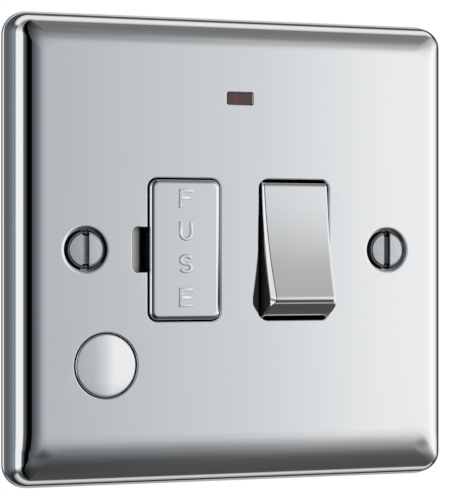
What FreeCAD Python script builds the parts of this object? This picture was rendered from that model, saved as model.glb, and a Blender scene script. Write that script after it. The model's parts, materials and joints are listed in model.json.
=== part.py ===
import FreeCAD, Part
import math
import os
from FreeCAD import Vector as V

# One-gang fused spur unit with a polished metal front, in millimetres.
# X is to the right and Z is up as seen from the room, and Y goes into the wall.
# The origin is the middle of the plate's rim plane, which lies on the wall.

# Pressed front plate
fixing_pitch = 60.3
plate_margin = 13.85
plate_depth = 8.0
sheet = 1.0
wall_draft = 10.0
face_edge_r = 6.0
corner_r = 4.5
rim_break = 0.3
pierced_break = 0.3

# Fuse, to the common plug-fuse size
fuse_length = 25.4
fuse_cap_r = 3.175
fuse_cap_l = 6.1
fuse_cap_t = 0.5
fuse_fit = 0.1
cap_fit = 0.02
fuse_barrel_r = 3.0
fuse_axis_y = 1.5

# Windows in the plate
fuse_end_room = 0.6
fuse_x = -11.0
fuse_window_w = 14.25
fuse_window_r = 1.8
rocker_x = 11.0
rocker_window_w = 14.2
rocker_window_r = 1.7
notch_reach = 3.4
notch_h = 8.7
notch_r = 1.0
lip_reach = 1.7
lip_drop = 1.6
lip_root = 0.6
neon_rise = 3.9
neon_window_w = 5.1
neon_window_h = 2.15
neon_window_r = 0.3
outlet_x = -26.2
outlet_z = -21.3
outlet_hole_r = 6.05

# Plate screws, raised countersunk
screw_r = 1.75
screw_neck_r = 1.4
screw_tip = 0.6
screw_length = 25.0
screw_head_r = 3.4
screw_crown = 0.95
screw_slot_w = 0.95
screw_slot_d = 1.35
screw_sink = 0.35
dimple_blend_r = 1.2
dimple_depth = 2.2
dimple_hole_r = 2.1
cone_fit = 0.02

# Moulding behind the plate
slab_t = 3.0
slab_inset = 9.5
slab_inset_below = 13.0
slab_corner_r = 3.0
skirt_t = 1.8
wall_gap = 0.4
lug_gap = 0.15
lug_hole_clear = 0.5
block_rear = 2.5
block_wall = 2.0
well_clear = 0.1
seat_gap = 0.3
running_fit = 0.05

# Rocker, pivoting on an axis along X
rocker_gap = 0.45
pivot_behind_face = 3.4
rocker_half_travel = 13.5
rocker_end_gap = 0.15
rocker_face_mid = 5.9
rocker_face_r = 69.0
rocker_end_edge_r = 1.0
rocker_side_break = 0.45
rocker_cover_t = 0.8
skirt_margin = 4.5
core_fit = 0.05
core_rear = 1.8
trunnion_r = 1.5
trunnion_run = 1.4

# Sprung plungers and rocking contact blades, one set for each pole
pole_offset = 3.2
plunger_r = 1.22
plunger_reach = 10.8
plunger_head = 0.5
plunger_fit = 0.08
plunger_gap = 0.2
boss_wall = 0.9
boss_reach = 5.0
spring_room = 2.5
spring_wire_r = 0.2
spring_turns = 4
blade_t = 0.8
blade_w = 2.8
blade_arm = 9.6
blade_bend = 8.0
blade_travel = 19.0
blade_ear_r = 0.7
blade_ear = 1.1
contact_z = 8.2
contact_r = 1.2
contact_t = 0.5
contact_gap = 0.15

# Current-carrying strips
strip_t = 0.8
strip_w = 3.0
cheek_gap = 0.4
cheek_half_h = 1.6
tab_rise = 1.0
tab_w = 1.5
fulcrum_base_behind = 3.3

# Fuse drawer and the clips behind it
cover_gap = 0.25
cover_proud = 0.8
cover_t = 0.7
cover_depth = 2.4
cover_edge_r = 0.95
cover_corner_r = 1.6
carrier_fit = 0.05
carrier_rear = -3.5
cradle_gap = 1.1
cradle_wall = 1.0
cradle_mouth = 5.0
rail_drop = 0.3
rail_h = 1.8
rail_t = 0.9
rail_side_gap = 0.25
rail_end_y = 8.0
rail_lug = 0.9
rail_lug_l = 1.4
drawer_travel = 13.0
clip_t = 0.5
clip_gap = 0.3
clip_h = 4.9
clip_end_gap = 0.3
clip_base_gap = 0.5
clip_front_y = -1.2
clip_mouth_l = 1.6
clip_mouth_angle = 20.0

# Neon indicator
lens_gap = 0.05
lens_sink = 0.2
lens_flange_w = 8.6
lens_flange_h = 5.2
lens_flange_t = 1.0
lamp_r = 1.7
lamp_length = 9.0
resistor_r = 1.0
resistor_length = 5.6
lead_r = 0.35
lead_x = 6.1
lead_drop = 2.5

# Blanking plug in the flex outlet
plug_r = 5.7
plug_dome_r = 36.0
plug_edge_proud = 0.1
plug_wall = 1.0
plug_floor = 1.4
plug_length = 4.6
plug_snap_r = 6.5
plug_snap_t = 0.8
outlet_passage_r = 7.0

# Rear housing and terminals
housing_wall = 1.8
housing_rear = 20.0
housing_edge_r = 1.0
housing_cut_gap = 0.55
housing_cut_angle = 27.4
housing_screw_z = (1.5, -10.5)
housing_screw_r = 1.4
housing_screw_head_r = 2.5
housing_screw_sink = 1.4
housing_screw_bite = 5.5
thread_bite = 0.1
post_r = 2.7
eye_wall = 1.0
anvil_half = 1.6
terminal_x = 12.0
terminal_half_w = 3.6
terminal_rise = 2.8
terminal_l = 7.0
terminal_front_y = 8.15
terminal_fit = 0.05
wire_r = 2.3
wire_y = 11.6
clamp_screw_r = 1.5
clamp_head_r = 2.3
clamp_head_t = 1.4
clamp_retract = 0.3
pocket_rib_t = 1.0
pocket_fit = 0.2
entry_clear = 0.5

# Worked-out places
plate_side = fixing_pitch + 2 * plate_margin
face_y = -plate_depth
back_y = face_y + sheet
slab_back = back_y + slab_t
skirt_rear = -wall_gap
screw_x = fixing_pitch / 2
pivot_y = face_y + pivot_behind_face
window_h = fuse_length + 2 * fuse_end_room
window_half = window_h / 2
rocker_end_r = window_half - rocker_end_gap
well_half_h = window_half + well_clear
fulcrum_y = pivot_y + plunger_reach + plunger_gap + blade_ear_r
fulcrum_base_y = fulcrum_y + fulcrum_base_behind
closed = math.radians(blade_travel / 2)
bend = math.radians(blade_bend)
button_y = blade_t / 2 - contact_z * math.tan(bend) + contact_t * math.cos(bend)
button_z = contact_z + contact_t * math.sin(bend)
button_tilt = contact_r * math.sin(closed - bend)
closed_button_y = button_y * math.cos(closed) + button_z * math.sin(closed) + button_tilt
fixed_contact_y = fulcrum_y + closed_button_y + contact_gap
contact_strip_y = fixed_contact_y + contact_t
housing_inner_rear = housing_rear - housing_wall
terminal_rear_y = housing_inner_rear - terminal_fit
terminal_z0 = fuse_length / 2 + terminal_rise
terminal_z1 = terminal_z0 + terminal_l
housing_half = terminal_z1 + pocket_fit + housing_wall
lug_r = screw_x - housing_half - lug_gap
neon_z = housing_half + neon_rise
slab_half_w = plate_side / 2 - slab_inset
slab_top = plate_side / 2 - slab_inset
slab_bottom = slab_inset_below - plate_side / 2
core_w = rocker_window_w - 2 * (rocker_gap + rocker_cover_t + core_fit)
clip_inner = fuse_cap_r + clip_gap
clip_base_y = fuse_axis_y + fuse_cap_r + clip_base_gap
clip_z1 = fuse_length / 2 - clip_end_gap
clip_z0 = clip_z1 - clip_h
cradle_half_h = clip_z0 - cradle_gap
rail_z = cradle_half_h - rail_drop
pole_xs = (rocker_x - pole_offset, rocker_x + pole_offset)


def box(x0, x1, y0, y1, z0, z1):
    return Part.makeBox(x1 - x0, y1 - y0, z1 - z0, V(x0, y0, z0))


def rod_x(r, x0, x1, y, z):
    return Part.makeCylinder(r, x1 - x0, V(x0, y, z), V(1, 0, 0))


def rod_y(r, y0, y1, x, z):
    return Part.makeCylinder(r, y1 - y0, V(x, y0, z), V(0, 1, 0))


def rod_z(r, z0, z1, x, y):
    return Part.makeCylinder(r, z1 - z0, V(x, y, z0), V(0, 0, 1))


def line(a, b):
    return Part.LineSegment(a, b).toShape()


def arc(a, b, c):
    return Part.Arc(a, b, c).toShape()


def fused(shapes):
    whole = shapes[0]
    if len(shapes) > 1:
        whole = whole.fuse(shapes[1:])
    return whole.removeSplitter()


def pad(cx, cz, w, h, r, y0, y1):
    """Rounded rectangle in the plane of the plate, from y0 back to y1."""
    hw, hh = w / 2, h / 2
    k = r * (1 - math.sqrt(0.5))
    edges = []
    corners = ((1, -1), (1, 1), (-1, 1), (-1, -1))
    for i, (sx, sz) in enumerate(corners):
        tx, tz = corners[(i + 1) % 4]
        low = V(cx + sx * (hw - r), y0, cz + sz * hh)
        mid = V(cx + sx * (hw - k), y0, cz + sz * (hh - k))
        high = V(cx + sx * hw, y0, cz + sz * (hh - r))
        first, last = (low, high) if sx == -sz else (high, low)
        if tx == -tz:
            start = V(cx + tx * (hw - r), y0, cz + tz * hh)
        else:
            start = V(cx + tx * hw, y0, cz + tz * (hh - r))
        edges += [arc(first, mid, last), line(last, start)]
    return Part.Face(Part.Wire(edges)).extrude(V(0, y1 - y0, 0))


def outline_prism(points, inset, y0, y1):
    """Polygon in X and Z, drawn in by inset, from y0 back to y1."""
    corners = [V(x, y0, z) for x, z in points]
    wire = Part.makePolygon(corners + corners[:1])
    if inset:
        wire = wire.makeOffset2D(-inset, 2)
    return Part.Face(wire).extrude(V(0, y1 - y0, 0))


def turned(edges, x, z):
    """Solid turned about the line along Y through x and z."""
    face = Part.Face(Part.Wire(edges))
    return face.revolve(V(x, 0, z), V(0, 1, 0), 360)


def arc_points(cx, cy, cz, r, a0, a1, count):
    """Points on an arc in the plane of X and Y, with angles from the +X side."""
    points = []
    for i in range(count + 1):
        a = math.radians(a0 + (a1 - a0) * i / count)
        points.append(V(cx + r * math.cos(a), cy + r * math.sin(a), cz))
    return points


def polyline(points):
    return [line(points[i], points[i + 1]) for i in range(len(points) - 1)]


def swing(shape, degrees, y, z=0.0):
    return shape.rotated(V(0, y, z), V(1, 0, 0), degrees)


def press_points(half, depth, edge_r):
    """Half width, height and radius points of the plate's section, from rim to face."""
    a = math.radians(wall_draft)
    yc = -depth + edge_r
    flat = half + yc * math.tan(a) - edge_r / math.cos(a)
    mid = math.radians(45 - wall_draft / 2)
    wall = (flat + edge_r * math.cos(a), yc - edge_r * math.sin(a))
    crest = (flat + edge_r * math.sin(mid), yc - edge_r * math.cos(mid))
    return wall, crest, (flat, -depth), yc


def press_section(along_z, half, depth, edge_r):
    """The plate's cross-section, run right across it."""
    wall, crest, flat, yc = press_points(half, depth, edge_r)
    run = plate_side

    def at(s, y):
        return V(s, y, -run) if along_z else V(-run, y, s)

    def left(p):
        return at(-p[0], p[1])

    edges = [
        line(at(half, 0), at(*wall)), arc(at(*wall), at(*crest), at(*flat)),
        line(at(*flat), left(flat)), arc(left(flat), left(crest), left(wall)),
        line(left(wall), at(-half, 0)), line(at(-half, 0), at(half, 0)),
    ]
    way = V(0, 0, 2 * run) if along_z else V(2 * run, 0, 0)
    return Part.Face(Part.Wire(edges)).extrude(way)


def press_corner(half, depth, edge_r, centre):
    """Quarter turn of the section about the corner's centre."""
    wall, crest, flat, yc = press_points(half, depth, edge_r)
    start = centre - flat[0]
    top_y = yc - math.sqrt(edge_r ** 2 - start ** 2)
    a0 = math.asin(start / edge_r)
    a1 = math.radians(90 - wall_draft)
    mid = (a0 + a1) / 2
    middle = V(flat[0] + edge_r * math.sin(mid), yc - edge_r * math.cos(mid), centre)
    top = V(centre, top_y, centre)
    side = V(wall[0], wall[1], centre)
    edges = [arc(top, middle, side), line(side, V(half, 0, centre)),
             line(V(half, 0, centre), V(centre, 0, centre)), line(V(centre, 0, centre), top)]
    return Part.Face(Part.Wire(edges)).revolve(V(centre, 0, centre), V(0, 1, 0), -90)


def pressed_form(half, depth, edge_r, foot_break):
    """Shallow square dish with rounded corners that run out to a mitre on the face."""
    across = press_section(True, half, depth, edge_r)
    upright = press_section(False, half, depth, edge_r)
    form = across.common(upright).Solids[0]
    centre = plate_side / 2 - corner_r
    blank = box(centre, plate_side, -plate_side, plate_side, centre, plate_side)
    corner = press_corner(half, depth, edge_r, centre)
    turns = [90 * i for i in range(4)]
    form = form.cut([blank.rotated(V(0, 0, 0), V(0, 1, 0), t) for t in turns])
    form = fused([form] + [corner.rotated(V(0, 0, 0), V(0, 1, 0), t) for t in turns])
    if foot_break:
        feet = [e for e in form.Edges if e.BoundBox.YMin > -1e-6]
        form = form.makeChamfer(foot_break, feet)
    return form.Solids[0]


def dimple_line(offset):
    """Radius of the countersink cone at the face level, drawn back by offset."""
    return screw_head_r + cone_fit + screw_sink + offset * math.sqrt(2)


def dimple_metal(x):
    outer = dimple_line(sheet)
    top = V(x, back_y, 0)
    foot_y = face_y + dimple_depth
    edges = [
        line(top, V(x + outer - sheet, back_y, 0)),
        line(V(x + outer - sheet, back_y, 0), V(x + outer - dimple_depth, foot_y, 0)),
        line(V(x + outer - dimple_depth, foot_y, 0), V(x, foot_y, 0)),
        line(V(x, foot_y, 0), top),
    ]
    return turned(edges, x, 0)


def dimple_hollow(x):
    cone = dimple_line(0)
    reach = dimple_blend_r * math.tan(math.radians(22.5))
    slant = reach * math.sqrt(0.5)
    half_turn = math.radians(22.5)
    on_face = V(x + cone + reach, face_y, 0)
    middle = V(x + cone + reach - dimple_blend_r * math.sin(half_turn),
               face_y + dimple_blend_r * (1 - math.cos(half_turn)), 0)
    on_cone = V(x + cone - slant, face_y + slant, 0)
    hole_y = face_y + cone - dimple_hole_r
    foot_y = face_y + dimple_depth + sheet
    points = [on_cone, V(x + dimple_hole_r, hole_y, 0), V(x + dimple_hole_r, foot_y, 0),
              V(x, foot_y, 0), V(x, face_y - sheet, 0),
              V(x + cone + reach, face_y - sheet, 0), on_face]
    return turned([arc(on_face, middle, on_cone)] + polyline(points), x, 0)


def notch_left():
    return fuse_x - fuse_window_w / 2 - notch_reach


def front_plate():
    half = plate_side / 2
    outer = pressed_form(half, plate_depth, face_edge_r, rim_break)
    inner = pressed_form(half - sheet / math.cos(math.radians(wall_draft)),
                         plate_depth - sheet, face_edge_r - sheet, 0)
    plate = outer.cut(inner)
    y0, y1 = face_y - 1, back_y + 1
    notch_w = 2 * notch_reach
    holes = [
        pad(fuse_x, 0, fuse_window_w, window_h, fuse_window_r, y0, y1),
        pad(notch_left() + notch_w / 2, 0, notch_w, notch_h, notch_r, y0, y1),
        pad(rocker_x, 0, rocker_window_w, window_h, rocker_window_r, y0, y1),
        pad(0, neon_z, neon_window_w, neon_window_h, neon_window_r, y0, y1),
        rod_y(outlet_hole_r, y0, y1, outlet_x, outlet_z),
    ]
    plate = plate.cut(holes)
    limit = half - face_edge_r
    rims = []
    for edge in plate.Edges:
        b = edge.BoundBox
        if b.YMax < face_y + 1e-6 and max(b.XMax, -b.XMin, b.ZMax, -b.ZMin) < limit:
            rims.append(edge)
    plate = plate.makeChamfer(pierced_break, rims)
    for side in (-1, 1):
        plate = plate.fuse(dimple_metal(side * screw_x))
    for side in (-1, 1):
        plate = plate.cut(dimple_hollow(side * screw_x))
    return plate.fuse(notch_lip()).Solids[0]


def notch_lip():
    """Edge of the sheet turned in behind the notch, where a driver levers."""
    x = notch_left()
    z0 = -(notch_h / 2 - notch_r)
    start_y = face_y + pierced_break
    end = V(x + lip_reach, start_y + lip_drop, z0)
    mid = V(x + lip_reach * 0.55, start_y + lip_drop * 0.4, z0)
    rear = V(x + lip_reach - 0.3, start_y + lip_drop + 0.3, z0)
    edges = [
        arc(V(x, start_y, z0), mid, end), line(end, rear),
        line(rear, V(x, back_y + lip_root, z0)),
        line(V(x, back_y + lip_root, z0), V(x - lip_root, back_y, z0)),
        line(V(x - lip_root, back_y, z0), V(x - lip_root, start_y, z0)),
        line(V(x - lip_root, start_y, z0), V(x, start_y, z0)),
    ]
    return Part.Face(Part.Wire(edges)).extrude(V(0, 0, notch_h - 2 * notch_r))


def plate_screws():
    """Slotted raised-countersunk screws, waisted where they pass the moulding."""
    screws = []
    edge_y = face_y + screw_sink
    top_y = edge_y - screw_crown
    crown_r = (screw_head_r ** 2 + screw_crown ** 2) / (2 * screw_crown)
    crown_turn = math.degrees(math.asin(screw_head_r / crown_r))
    neck_y = edge_y + screw_head_r - screw_neck_r
    tip_y = face_y + screw_length
    for side in (-1, 1):
        x = side * screw_x
        points = arc_points(x, top_y + crown_r, 0, crown_r, -90, crown_turn - 90, 4)
        points += [V(x + screw_neck_r, neck_y, 0), V(x + screw_neck_r, 0, 0),
                   V(x + screw_r, 0, 0), V(x + screw_r, tip_y - screw_tip, 0),
                   V(x + screw_r - screw_tip, tip_y, 0), V(x, tip_y, 0)]
        screw = turned(polyline(points + points[:1]), x, 0)
        slot = box(x - screw_slot_w / 2, x + screw_slot_w / 2, top_y - 1,
                   top_y + screw_slot_d, -plate_depth, plate_depth)
        screws.append(screw.cut(slot))
    return Part.Compound(screws)


def housing_points():
    """Square outline with one corner cut off beside the flex outlet."""
    h = housing_half
    across = math.cos(math.radians(housing_cut_angle))
    down = math.sin(math.radians(housing_cut_angle))
    reach = -outlet_x * across - outlet_z * down - plug_r - housing_cut_gap
    cut_z = (h * across - reach) / down
    cut_x = (h * down - reach) / across
    return [(-h, h), (-h, cut_z), (cut_x, -h), (h, -h), (h, h)]


def well(cx, window_w, y0, y1):
    w = window_w + 2 * well_clear
    return box(cx - w / 2, cx + w / 2, y0, y1, -well_half_h, well_half_h)


def rail_right_x():
    return fuse_x + fuse_window_w / 2 + well_clear - rail_side_gap


def rail_grooves():
    """Slots in the wall between the wells that stop the drawer's lugs."""
    cuts = []
    x0 = rail_right_x() - 0.1
    x1 = rail_right_x() + rail_lug + seat_gap
    stop_y = rail_end_y - rail_lug_l - drawer_travel
    reach = rail_h / 2 + seat_gap
    for side in (-1, 1):
        z = side * rail_z
        cuts.append(box(x0, x1, stop_y, block_rear + 1, z - reach, z + reach))
    return cuts


def front_moulding():
    mid_z = (slab_top + slab_bottom) / 2
    height = slab_top - slab_bottom
    width = 2 * slab_half_w
    slab = pad(0, mid_z, width, height, slab_corner_r, back_y, slab_back)
    skirt = pad(0, mid_z, width, height, slab_corner_r, slab_back, skirt_rear)
    skirt = skirt.cut(pad(0, mid_z, width - 2 * skirt_t, height - 2 * skirt_t,
                          slab_corner_r - skirt_t, slab_back, skirt_rear))
    block = box(-housing_half, rocker_x + rocker_window_w / 2 + well_clear + block_wall,
                slab_back, block_rear, -well_half_h - block_wall, well_half_h + block_wall)
    block = block.common(outline_prism(housing_points(), housing_wall + well_clear,
                                       slab_back, block_rear))
    lugs = [rod_y(lug_r, back_y, skirt_rear, side * screw_x, 0) for side in (-1, 1)]
    body = fused([slab, skirt, block] + lugs + [lamp_shelf()])
    cuts = [well(fuse_x, fuse_window_w, back_y, block_rear),
            well(rocker_x, rocker_window_w, back_y, block_rear),
            rod_y(outlet_passage_r, back_y, slab_back, outlet_x, outlet_z),
            notch_pocket(), lamp_opening()]
    cuts += rail_grooves()
    for side in (-1, 1):
        x = side * screw_x
        bore_r = screw_r + lug_hole_clear
        sink_y = face_y + dimple_depth + seat_gap
        cuts.append(rod_y(dimple_line(sheet) - sheet + seat_gap, back_y, sink_y, x, 0))
        cuts.append(rod_y(bore_r, back_y, skirt_rear, x, 0))
        leg = leg_z(side)
        cuts.append(box(-leg_half_w() - 0.2, leg_half_w() + 0.2, back_y, slab_back,
                        leg - strip_t / 2 - 0.2, leg + strip_t / 2 + 0.2))
    for z in housing_screw_z:
        pilot_y = block_rear - housing_screw_bite - seat_gap
        cuts.append(rod_y(housing_screw_r - thread_bite, pilot_y, block_rear, 0, z))
    body = body.cut(cuts)
    return body.cut(bearings()).removeSplitter().Solids[0]


def bearings():
    """Running holes for the rocker's trunnions, on both sides of its well."""
    half = rocker_window_w / 2 + well_clear
    reach = trunnion_reach() - half + seat_gap
    holes = []
    for side in (-1, 1):
        near, far = sorted((side * half, side * (half + reach)))
        holes.append(rod_x(trunnion_r + running_fit, rocker_x + near, rocker_x + far,
                           pivot_y, 0))
    return holes


def trunnion_reach():
    return rocker_window_w / 2 + well_clear + trunnion_run


def notch_pocket():
    """Hollow behind the notch that lets a driver reach the drawer's side."""
    x0 = notch_left() - lip_root - pocket_fit
    x1 = fuse_x - fuse_window_w / 2
    half = notch_h / 2 + pocket_fit
    return box(x0, x1, back_y, slab_back, -half, half)


def leg_half_w():
    return 2.0


def leg_z(side):
    return side * (well_half_h + block_wall + seat_gap + strip_t / 2 + 0.2)


def lamp_y():
    return back_y + lens_flange_t + seat_gap + lamp_r


def lamp_opening():
    half = lead_x + lead_r + pocket_fit
    return box(-half, half, back_y, slab_back, neon_z - lens_flange_h / 2 - 0.1,
               neon_z + lens_flange_h / 2 + 0.1)


def lamp_shelf():
    """Ledge under the lamp, standing back from the slab."""
    half = lamp_length / 2 - 0.8
    top = neon_z - lamp_r - running_fit
    low = housing_half + pocket_fit
    return box(-half, half, slab_back - 0.5, resistor_y() + resistor_r, low, top)


def resistor_y():
    return lamp_y() + lamp_r + seat_gap + resistor_r


def neon_lens():
    front = face_y + lens_sink
    boss = pad(0, neon_z, neon_window_w - 2 * lens_gap, neon_window_h - 2 * lens_gap,
               neon_window_r, front, back_y + lens_flange_t)
    flange = pad(0, neon_z, lens_flange_w, lens_flange_h, neon_window_r, back_y,
                 back_y + lens_flange_t)
    return fused([boss, flange])


def neon_lamp():
    half = lamp_length / 2
    y, z = lamp_y(), neon_z
    points = [V(-half, y, z)]
    points += arc_points(half - lamp_r, y, z, lamp_r, 90, 0, 4)
    points.insert(1, V(-half, y + lamp_r, z))
    face = Part.Face(Part.Wire(polyline(points + points[:1])))
    return face.revolve(V(0, y, z), V(1, 0, 0), 360)


def neon_resistor():
    half = resistor_length / 2
    z = neon_z - lamp_r - running_fit + resistor_r + running_fit
    body = rod_x(resistor_r * 0.8, -half, half, resistor_y(), z)
    ends = [rod_x(resistor_r, s * half - 0.7, s * half + 0.7, resistor_y(), z)
            for s in (-1, 1)]
    return fused([body] + ends)


def bent_wire(points, r, sides):
    """Many-sided wire along straight runs, mitred at its corners."""
    way = points[1].sub(points[0]).normalize()
    across = way.cross(V(0, 0, 1) if abs(way.z) < 0.9 else V(1, 0, 0)).normalize()
    up = way.cross(across)
    ring = []
    for i in range(sides):
        a = 2 * math.pi * i / sides
        ring.append(points[0] + across * (r * math.cos(a)) + up * (r * math.sin(a)))
    sweep = Part.BRepOffsetAPI.MakePipeShell(Part.makePolygon(points))
    sweep.setTransitionMode(1)
    sweep.add(Part.makePolygon(ring + ring[:1]))
    sweep.build()
    sweep.makeSolid()
    return sweep.shape()


def neon_leads():
    """Two wires from the lamp and its resistor back to the switched contacts."""
    lamp_end = lamp_length / 2
    z = neon_z
    low_z = housing_half - housing_wall - lead_drop
    back = contact_strip_y + strip_t / 2
    entry_y = resistor_y() + 0.4
    leads = []
    res_end = resistor_length / 2 + 0.7
    res_z = neon_z - lamp_r + resistor_r
    starts = {-1: [V(-lamp_end, lamp_y(), z), V(-lead_x, lamp_y(), z), V(-lead_x, entry_y, z)],
              1: [V(res_end, resistor_y(), res_z), V(lead_x, resistor_y(), res_z)]}
    for side, start in starts.items():
        x = side * lead_x
        last_y = start[-1].y
        top = contact_top() if side < 0 else neutral_tab_top()
        route = start + [V(x, last_y, low_z), V(x, back, low_z), V(x, back, top + 0.02)]
        leads.append(bent_wire(route, lead_r, 8))
    return Part.Compound(leads)


def contact_top():
    """Upper edge of the strips that carry the fixed contacts."""
    return contact_z + strip_w / 2 + 1.0


def neutral_tab_top():
    """Upper edge of the neutral strip's solder tab, which passes over the live strip."""
    return contact_top() + tab_rise + tab_w


def supply_z():
    """Height of the strips that run across under the top terminals."""
    return terminal_z0 - strip_w / 2 - 0.6


def flex_outlet_plug():
    """Domed cap on a short tube, held by a snap ring behind the sheet."""
    edge_y = face_y - plug_edge_proud
    turn = math.degrees(math.asin(plug_r / plug_dome_r))
    centre_y = edge_y + plug_dome_r * math.cos(math.radians(turn))
    x, z = outlet_x, outlet_z
    inner = plug_r - plug_wall
    floor_y = edge_y + plug_floor
    end_y = edge_y + plug_length
    snap_y = back_y + running_fit
    points = arc_points(x, centre_y, z, plug_dome_r, -90, turn - 90, 4)
    points += [V(x + plug_r, snap_y, z), V(x + plug_snap_r, snap_y, z),
               V(x + plug_snap_r, snap_y + plug_snap_t, z),
               V(x + plug_r, snap_y + 2 * plug_snap_t, z), V(x + plug_r, end_y, z),
               V(x + inner, end_y, z), V(x + inner, floor_y, z), V(x, floor_y, z)]
    return turned(polyline(points + points[:1]), x, z)


def rocker_profile(inset, rear):
    """Side view of the rocker, switched to its middle position."""
    end_r = rocker_end_r - inset
    centre = rocker_face_mid + rocker_face_r
    face_r = rocker_face_r + inset
    corner_u = (end_r ** 2 - face_r ** 2 + centre ** 2) / (2 * centre)
    middle_u = (corner_u - rear) / 2

    def at(u, side):
        return V(rocker_x, pivot_y - u, side * math.sqrt(end_r ** 2 - u ** 2))

    return [
        arc(at(-rear, -1), at(middle_u, -1), at(corner_u, -1)),
        arc(at(corner_u, -1), V(rocker_x, pivot_y - centre + face_r, 0), at(corner_u, 1)),
        arc(at(corner_u, 1), at(middle_u, 1), at(-rear, 1)),
        line(at(-rear, 1), at(-rear, -1)),
    ]


def rocker_block(inset, rear, width):
    wire = Part.Wire(rocker_profile(inset, rear))
    solid = Part.Face(wire).extrude(V(width, 0, 0))
    solid.translate(V(-width / 2, 0, 0))
    return solid


def cover_skirt():
    return rocker_end_r * math.sin(math.radians(rocker_half_travel + skirt_margin))


def rocker_cover():
    width = rocker_window_w - 2 * rocker_gap
    rear = cover_skirt()
    shell = rocker_block(0, rear, width)
    ends = []
    for edge in shell.Edges:
        b = edge.BoundBox
        if b.XLength > width - 0.1 and b.YMax < pivot_y - rocker_face_mid / 2:
            ends.append(edge)
    shell = shell.makeFillet(rocker_end_edge_r, ends)
    sides = []
    for edge in shell.Edges:
        b = edge.BoundBox
        if b.XLength < 1e-6 and not (b.YLength < 1e-6 and b.YMax > pivot_y):
            sides.append(edge)
    shell = shell.makeChamfer(rocker_side_break, sides)
    hollow = rocker_block(rocker_cover_t, rear + 1, width - 2 * rocker_cover_t)
    shell = shell.cut(hollow)
    slot_half = trunnion_r + 0.25
    slot = box(rocker_x - width, rocker_x + width, pivot_y, pivot_y + rear + 1,
               -slot_half, slot_half)
    slot = slot.fuse(rod_x(slot_half, rocker_x - width, rocker_x + width, pivot_y, 0))
    return swing(shell.cut(slot).Solids[0], -rocker_half_travel, pivot_y)


def rocker_body():
    core = rocker_block(rocker_cover_t + core_fit, core_rear, core_w)
    reach = trunnion_reach()
    bits = [core, rod_x(trunnion_r, rocker_x - reach, rocker_x + reach, pivot_y, 0)]
    boss_r = plunger_r + plunger_fit + boss_wall
    bores = []
    for x in pole_xs:
        bits.append(rod_y(boss_r, pivot_y, pivot_y + boss_reach, x, 0))
        bores.append(rod_y(plunger_r + plunger_fit, pivot_y - plunger_head - spring_room,
                           pivot_y + boss_reach, x, 0))
    body = fused(bits).cut(bores)
    return swing(body.Solids[0], -rocker_half_travel, pivot_y)


def plunger(x):
    """Round-nosed pin that slides in the rocker and presses on the blade."""
    tip_y = pivot_y + plunger_reach
    back_end = pivot_y - plunger_head
    points = [V(x, back_end, 0), V(x + plunger_r, back_end, 0)]
    points += arc_points(x, tip_y - plunger_r, 0, plunger_r, 0, 90, 4)
    pin = turned(polyline(points + points[:1]), x, 0)
    return swing(pin, -rocker_half_travel, pivot_y)


def plunger_spring(x):
    """Coil of short straight lengths between the bore's end and the plunger."""
    coil_r = plunger_r - spring_wire_r
    steps = 9
    room = spring_room - 2 * spring_wire_r - 0.1
    start_y = pivot_y - plunger_head - spring_room + spring_wire_r + 0.05
    points = []
    for i in range(spring_turns * steps + 1):
        a = 2 * math.pi * i / steps
        y = start_y + room * i / (spring_turns * steps)
        points.append(V(x + coil_r * math.cos(a), y, coil_r * math.sin(a)))
    return swing(bent_wire(points, spring_wire_r, 5), -rocker_half_travel, pivot_y)


def contact_blade(x):
    """Bent strip that rocks on its ears, with a contact button on top."""
    slope = math.tan(math.radians(blade_bend))
    t = blade_t / 2
    z = blade_arm
    y = fulcrum_y
    points = [(y - t, 0), (y - t - z * slope, z), (y + t - z * slope, z), (y + t, 0),
              (y + t - z * slope, -z), (y - t - z * slope, -z)]
    corners = [V(x - blade_w / 2, a, b) for a, b in points]
    strip = Part.Face(Part.makePolygon(corners + corners[:1])).extrude(V(blade_w, 0, 0))
    reach = blade_w / 2 + blade_ear
    ears = rod_x(blade_ear_r, x - reach, x + reach, y, 0)
    button = rod_y(contact_r, -t, contact_t, x, 0)
    button = button.rotated(V(x, 0, 0), V(1, 0, 0), blade_bend)
    button.translate(V(0, y + t - contact_z * slope, contact_z))
    return swing(fused([strip, ears, button]), blade_travel / 2, y)


def cheek_outer():
    return blade_w / 2 + cheek_gap + strip_t


def fulcrum(x, terminal_at):
    """Forked bracket that carries the blade's ears, with its strip to the terminal."""
    outer = cheek_outer()
    inner = outer - strip_t
    base_y = fulcrum_base_y
    bits = []
    for side in (-1, 1):
        x0, x1 = sorted((x + side * inner, x + side * outer))
        bits.append(box(x0, x1, fulcrum_y - cheek_half_h, base_y, -cheek_half_h, cheek_half_h))
    bits.append(box(x - outer, x + outer, base_y, base_y + strip_t, -cheek_half_h,
                    cheek_half_h))
    z0 = supply_z() - strip_w / 2
    z1 = supply_z() + strip_w / 2
    bits.append(box(x - strip_w / 2, x + strip_w / 2, base_y, base_y + strip_t, 0, z1))
    far = terminal_at - math.copysign(strip_w / 2, x - terminal_at)
    near, end = sorted((x, far))
    bits.append(box(near, end, base_y, base_y + strip_t, z0, z1))
    bits.append(box(terminal_at - strip_w / 2, terminal_at + strip_w / 2, base_y,
                    base_y + strip_t, z0, terminal_z0))
    ears = rod_x(blade_ear_r + running_fit, x - outer, x + outer, fulcrum_y, 0)
    return fused(bits).cut(ears)


def live_fixed_contact():
    """Contact button and the strip that feeds the upper fuse clip."""
    x = pole_xs[0]
    y0, y1 = contact_strip_y, contact_strip_y + strip_t
    z0, z1 = contact_top() - strip_w, contact_top()
    end = clip_right_x() - strip_t - 0.3
    strip = box(end, x + strip_w / 2, y0, y1, z0, z1)
    tab = box(end, end + strip_t, clip_base_y + clip_t, y1, z0, z1)
    button = rod_y(contact_r, fixed_contact_y, y0, x, contact_z)
    return fused([strip, tab, button])


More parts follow.
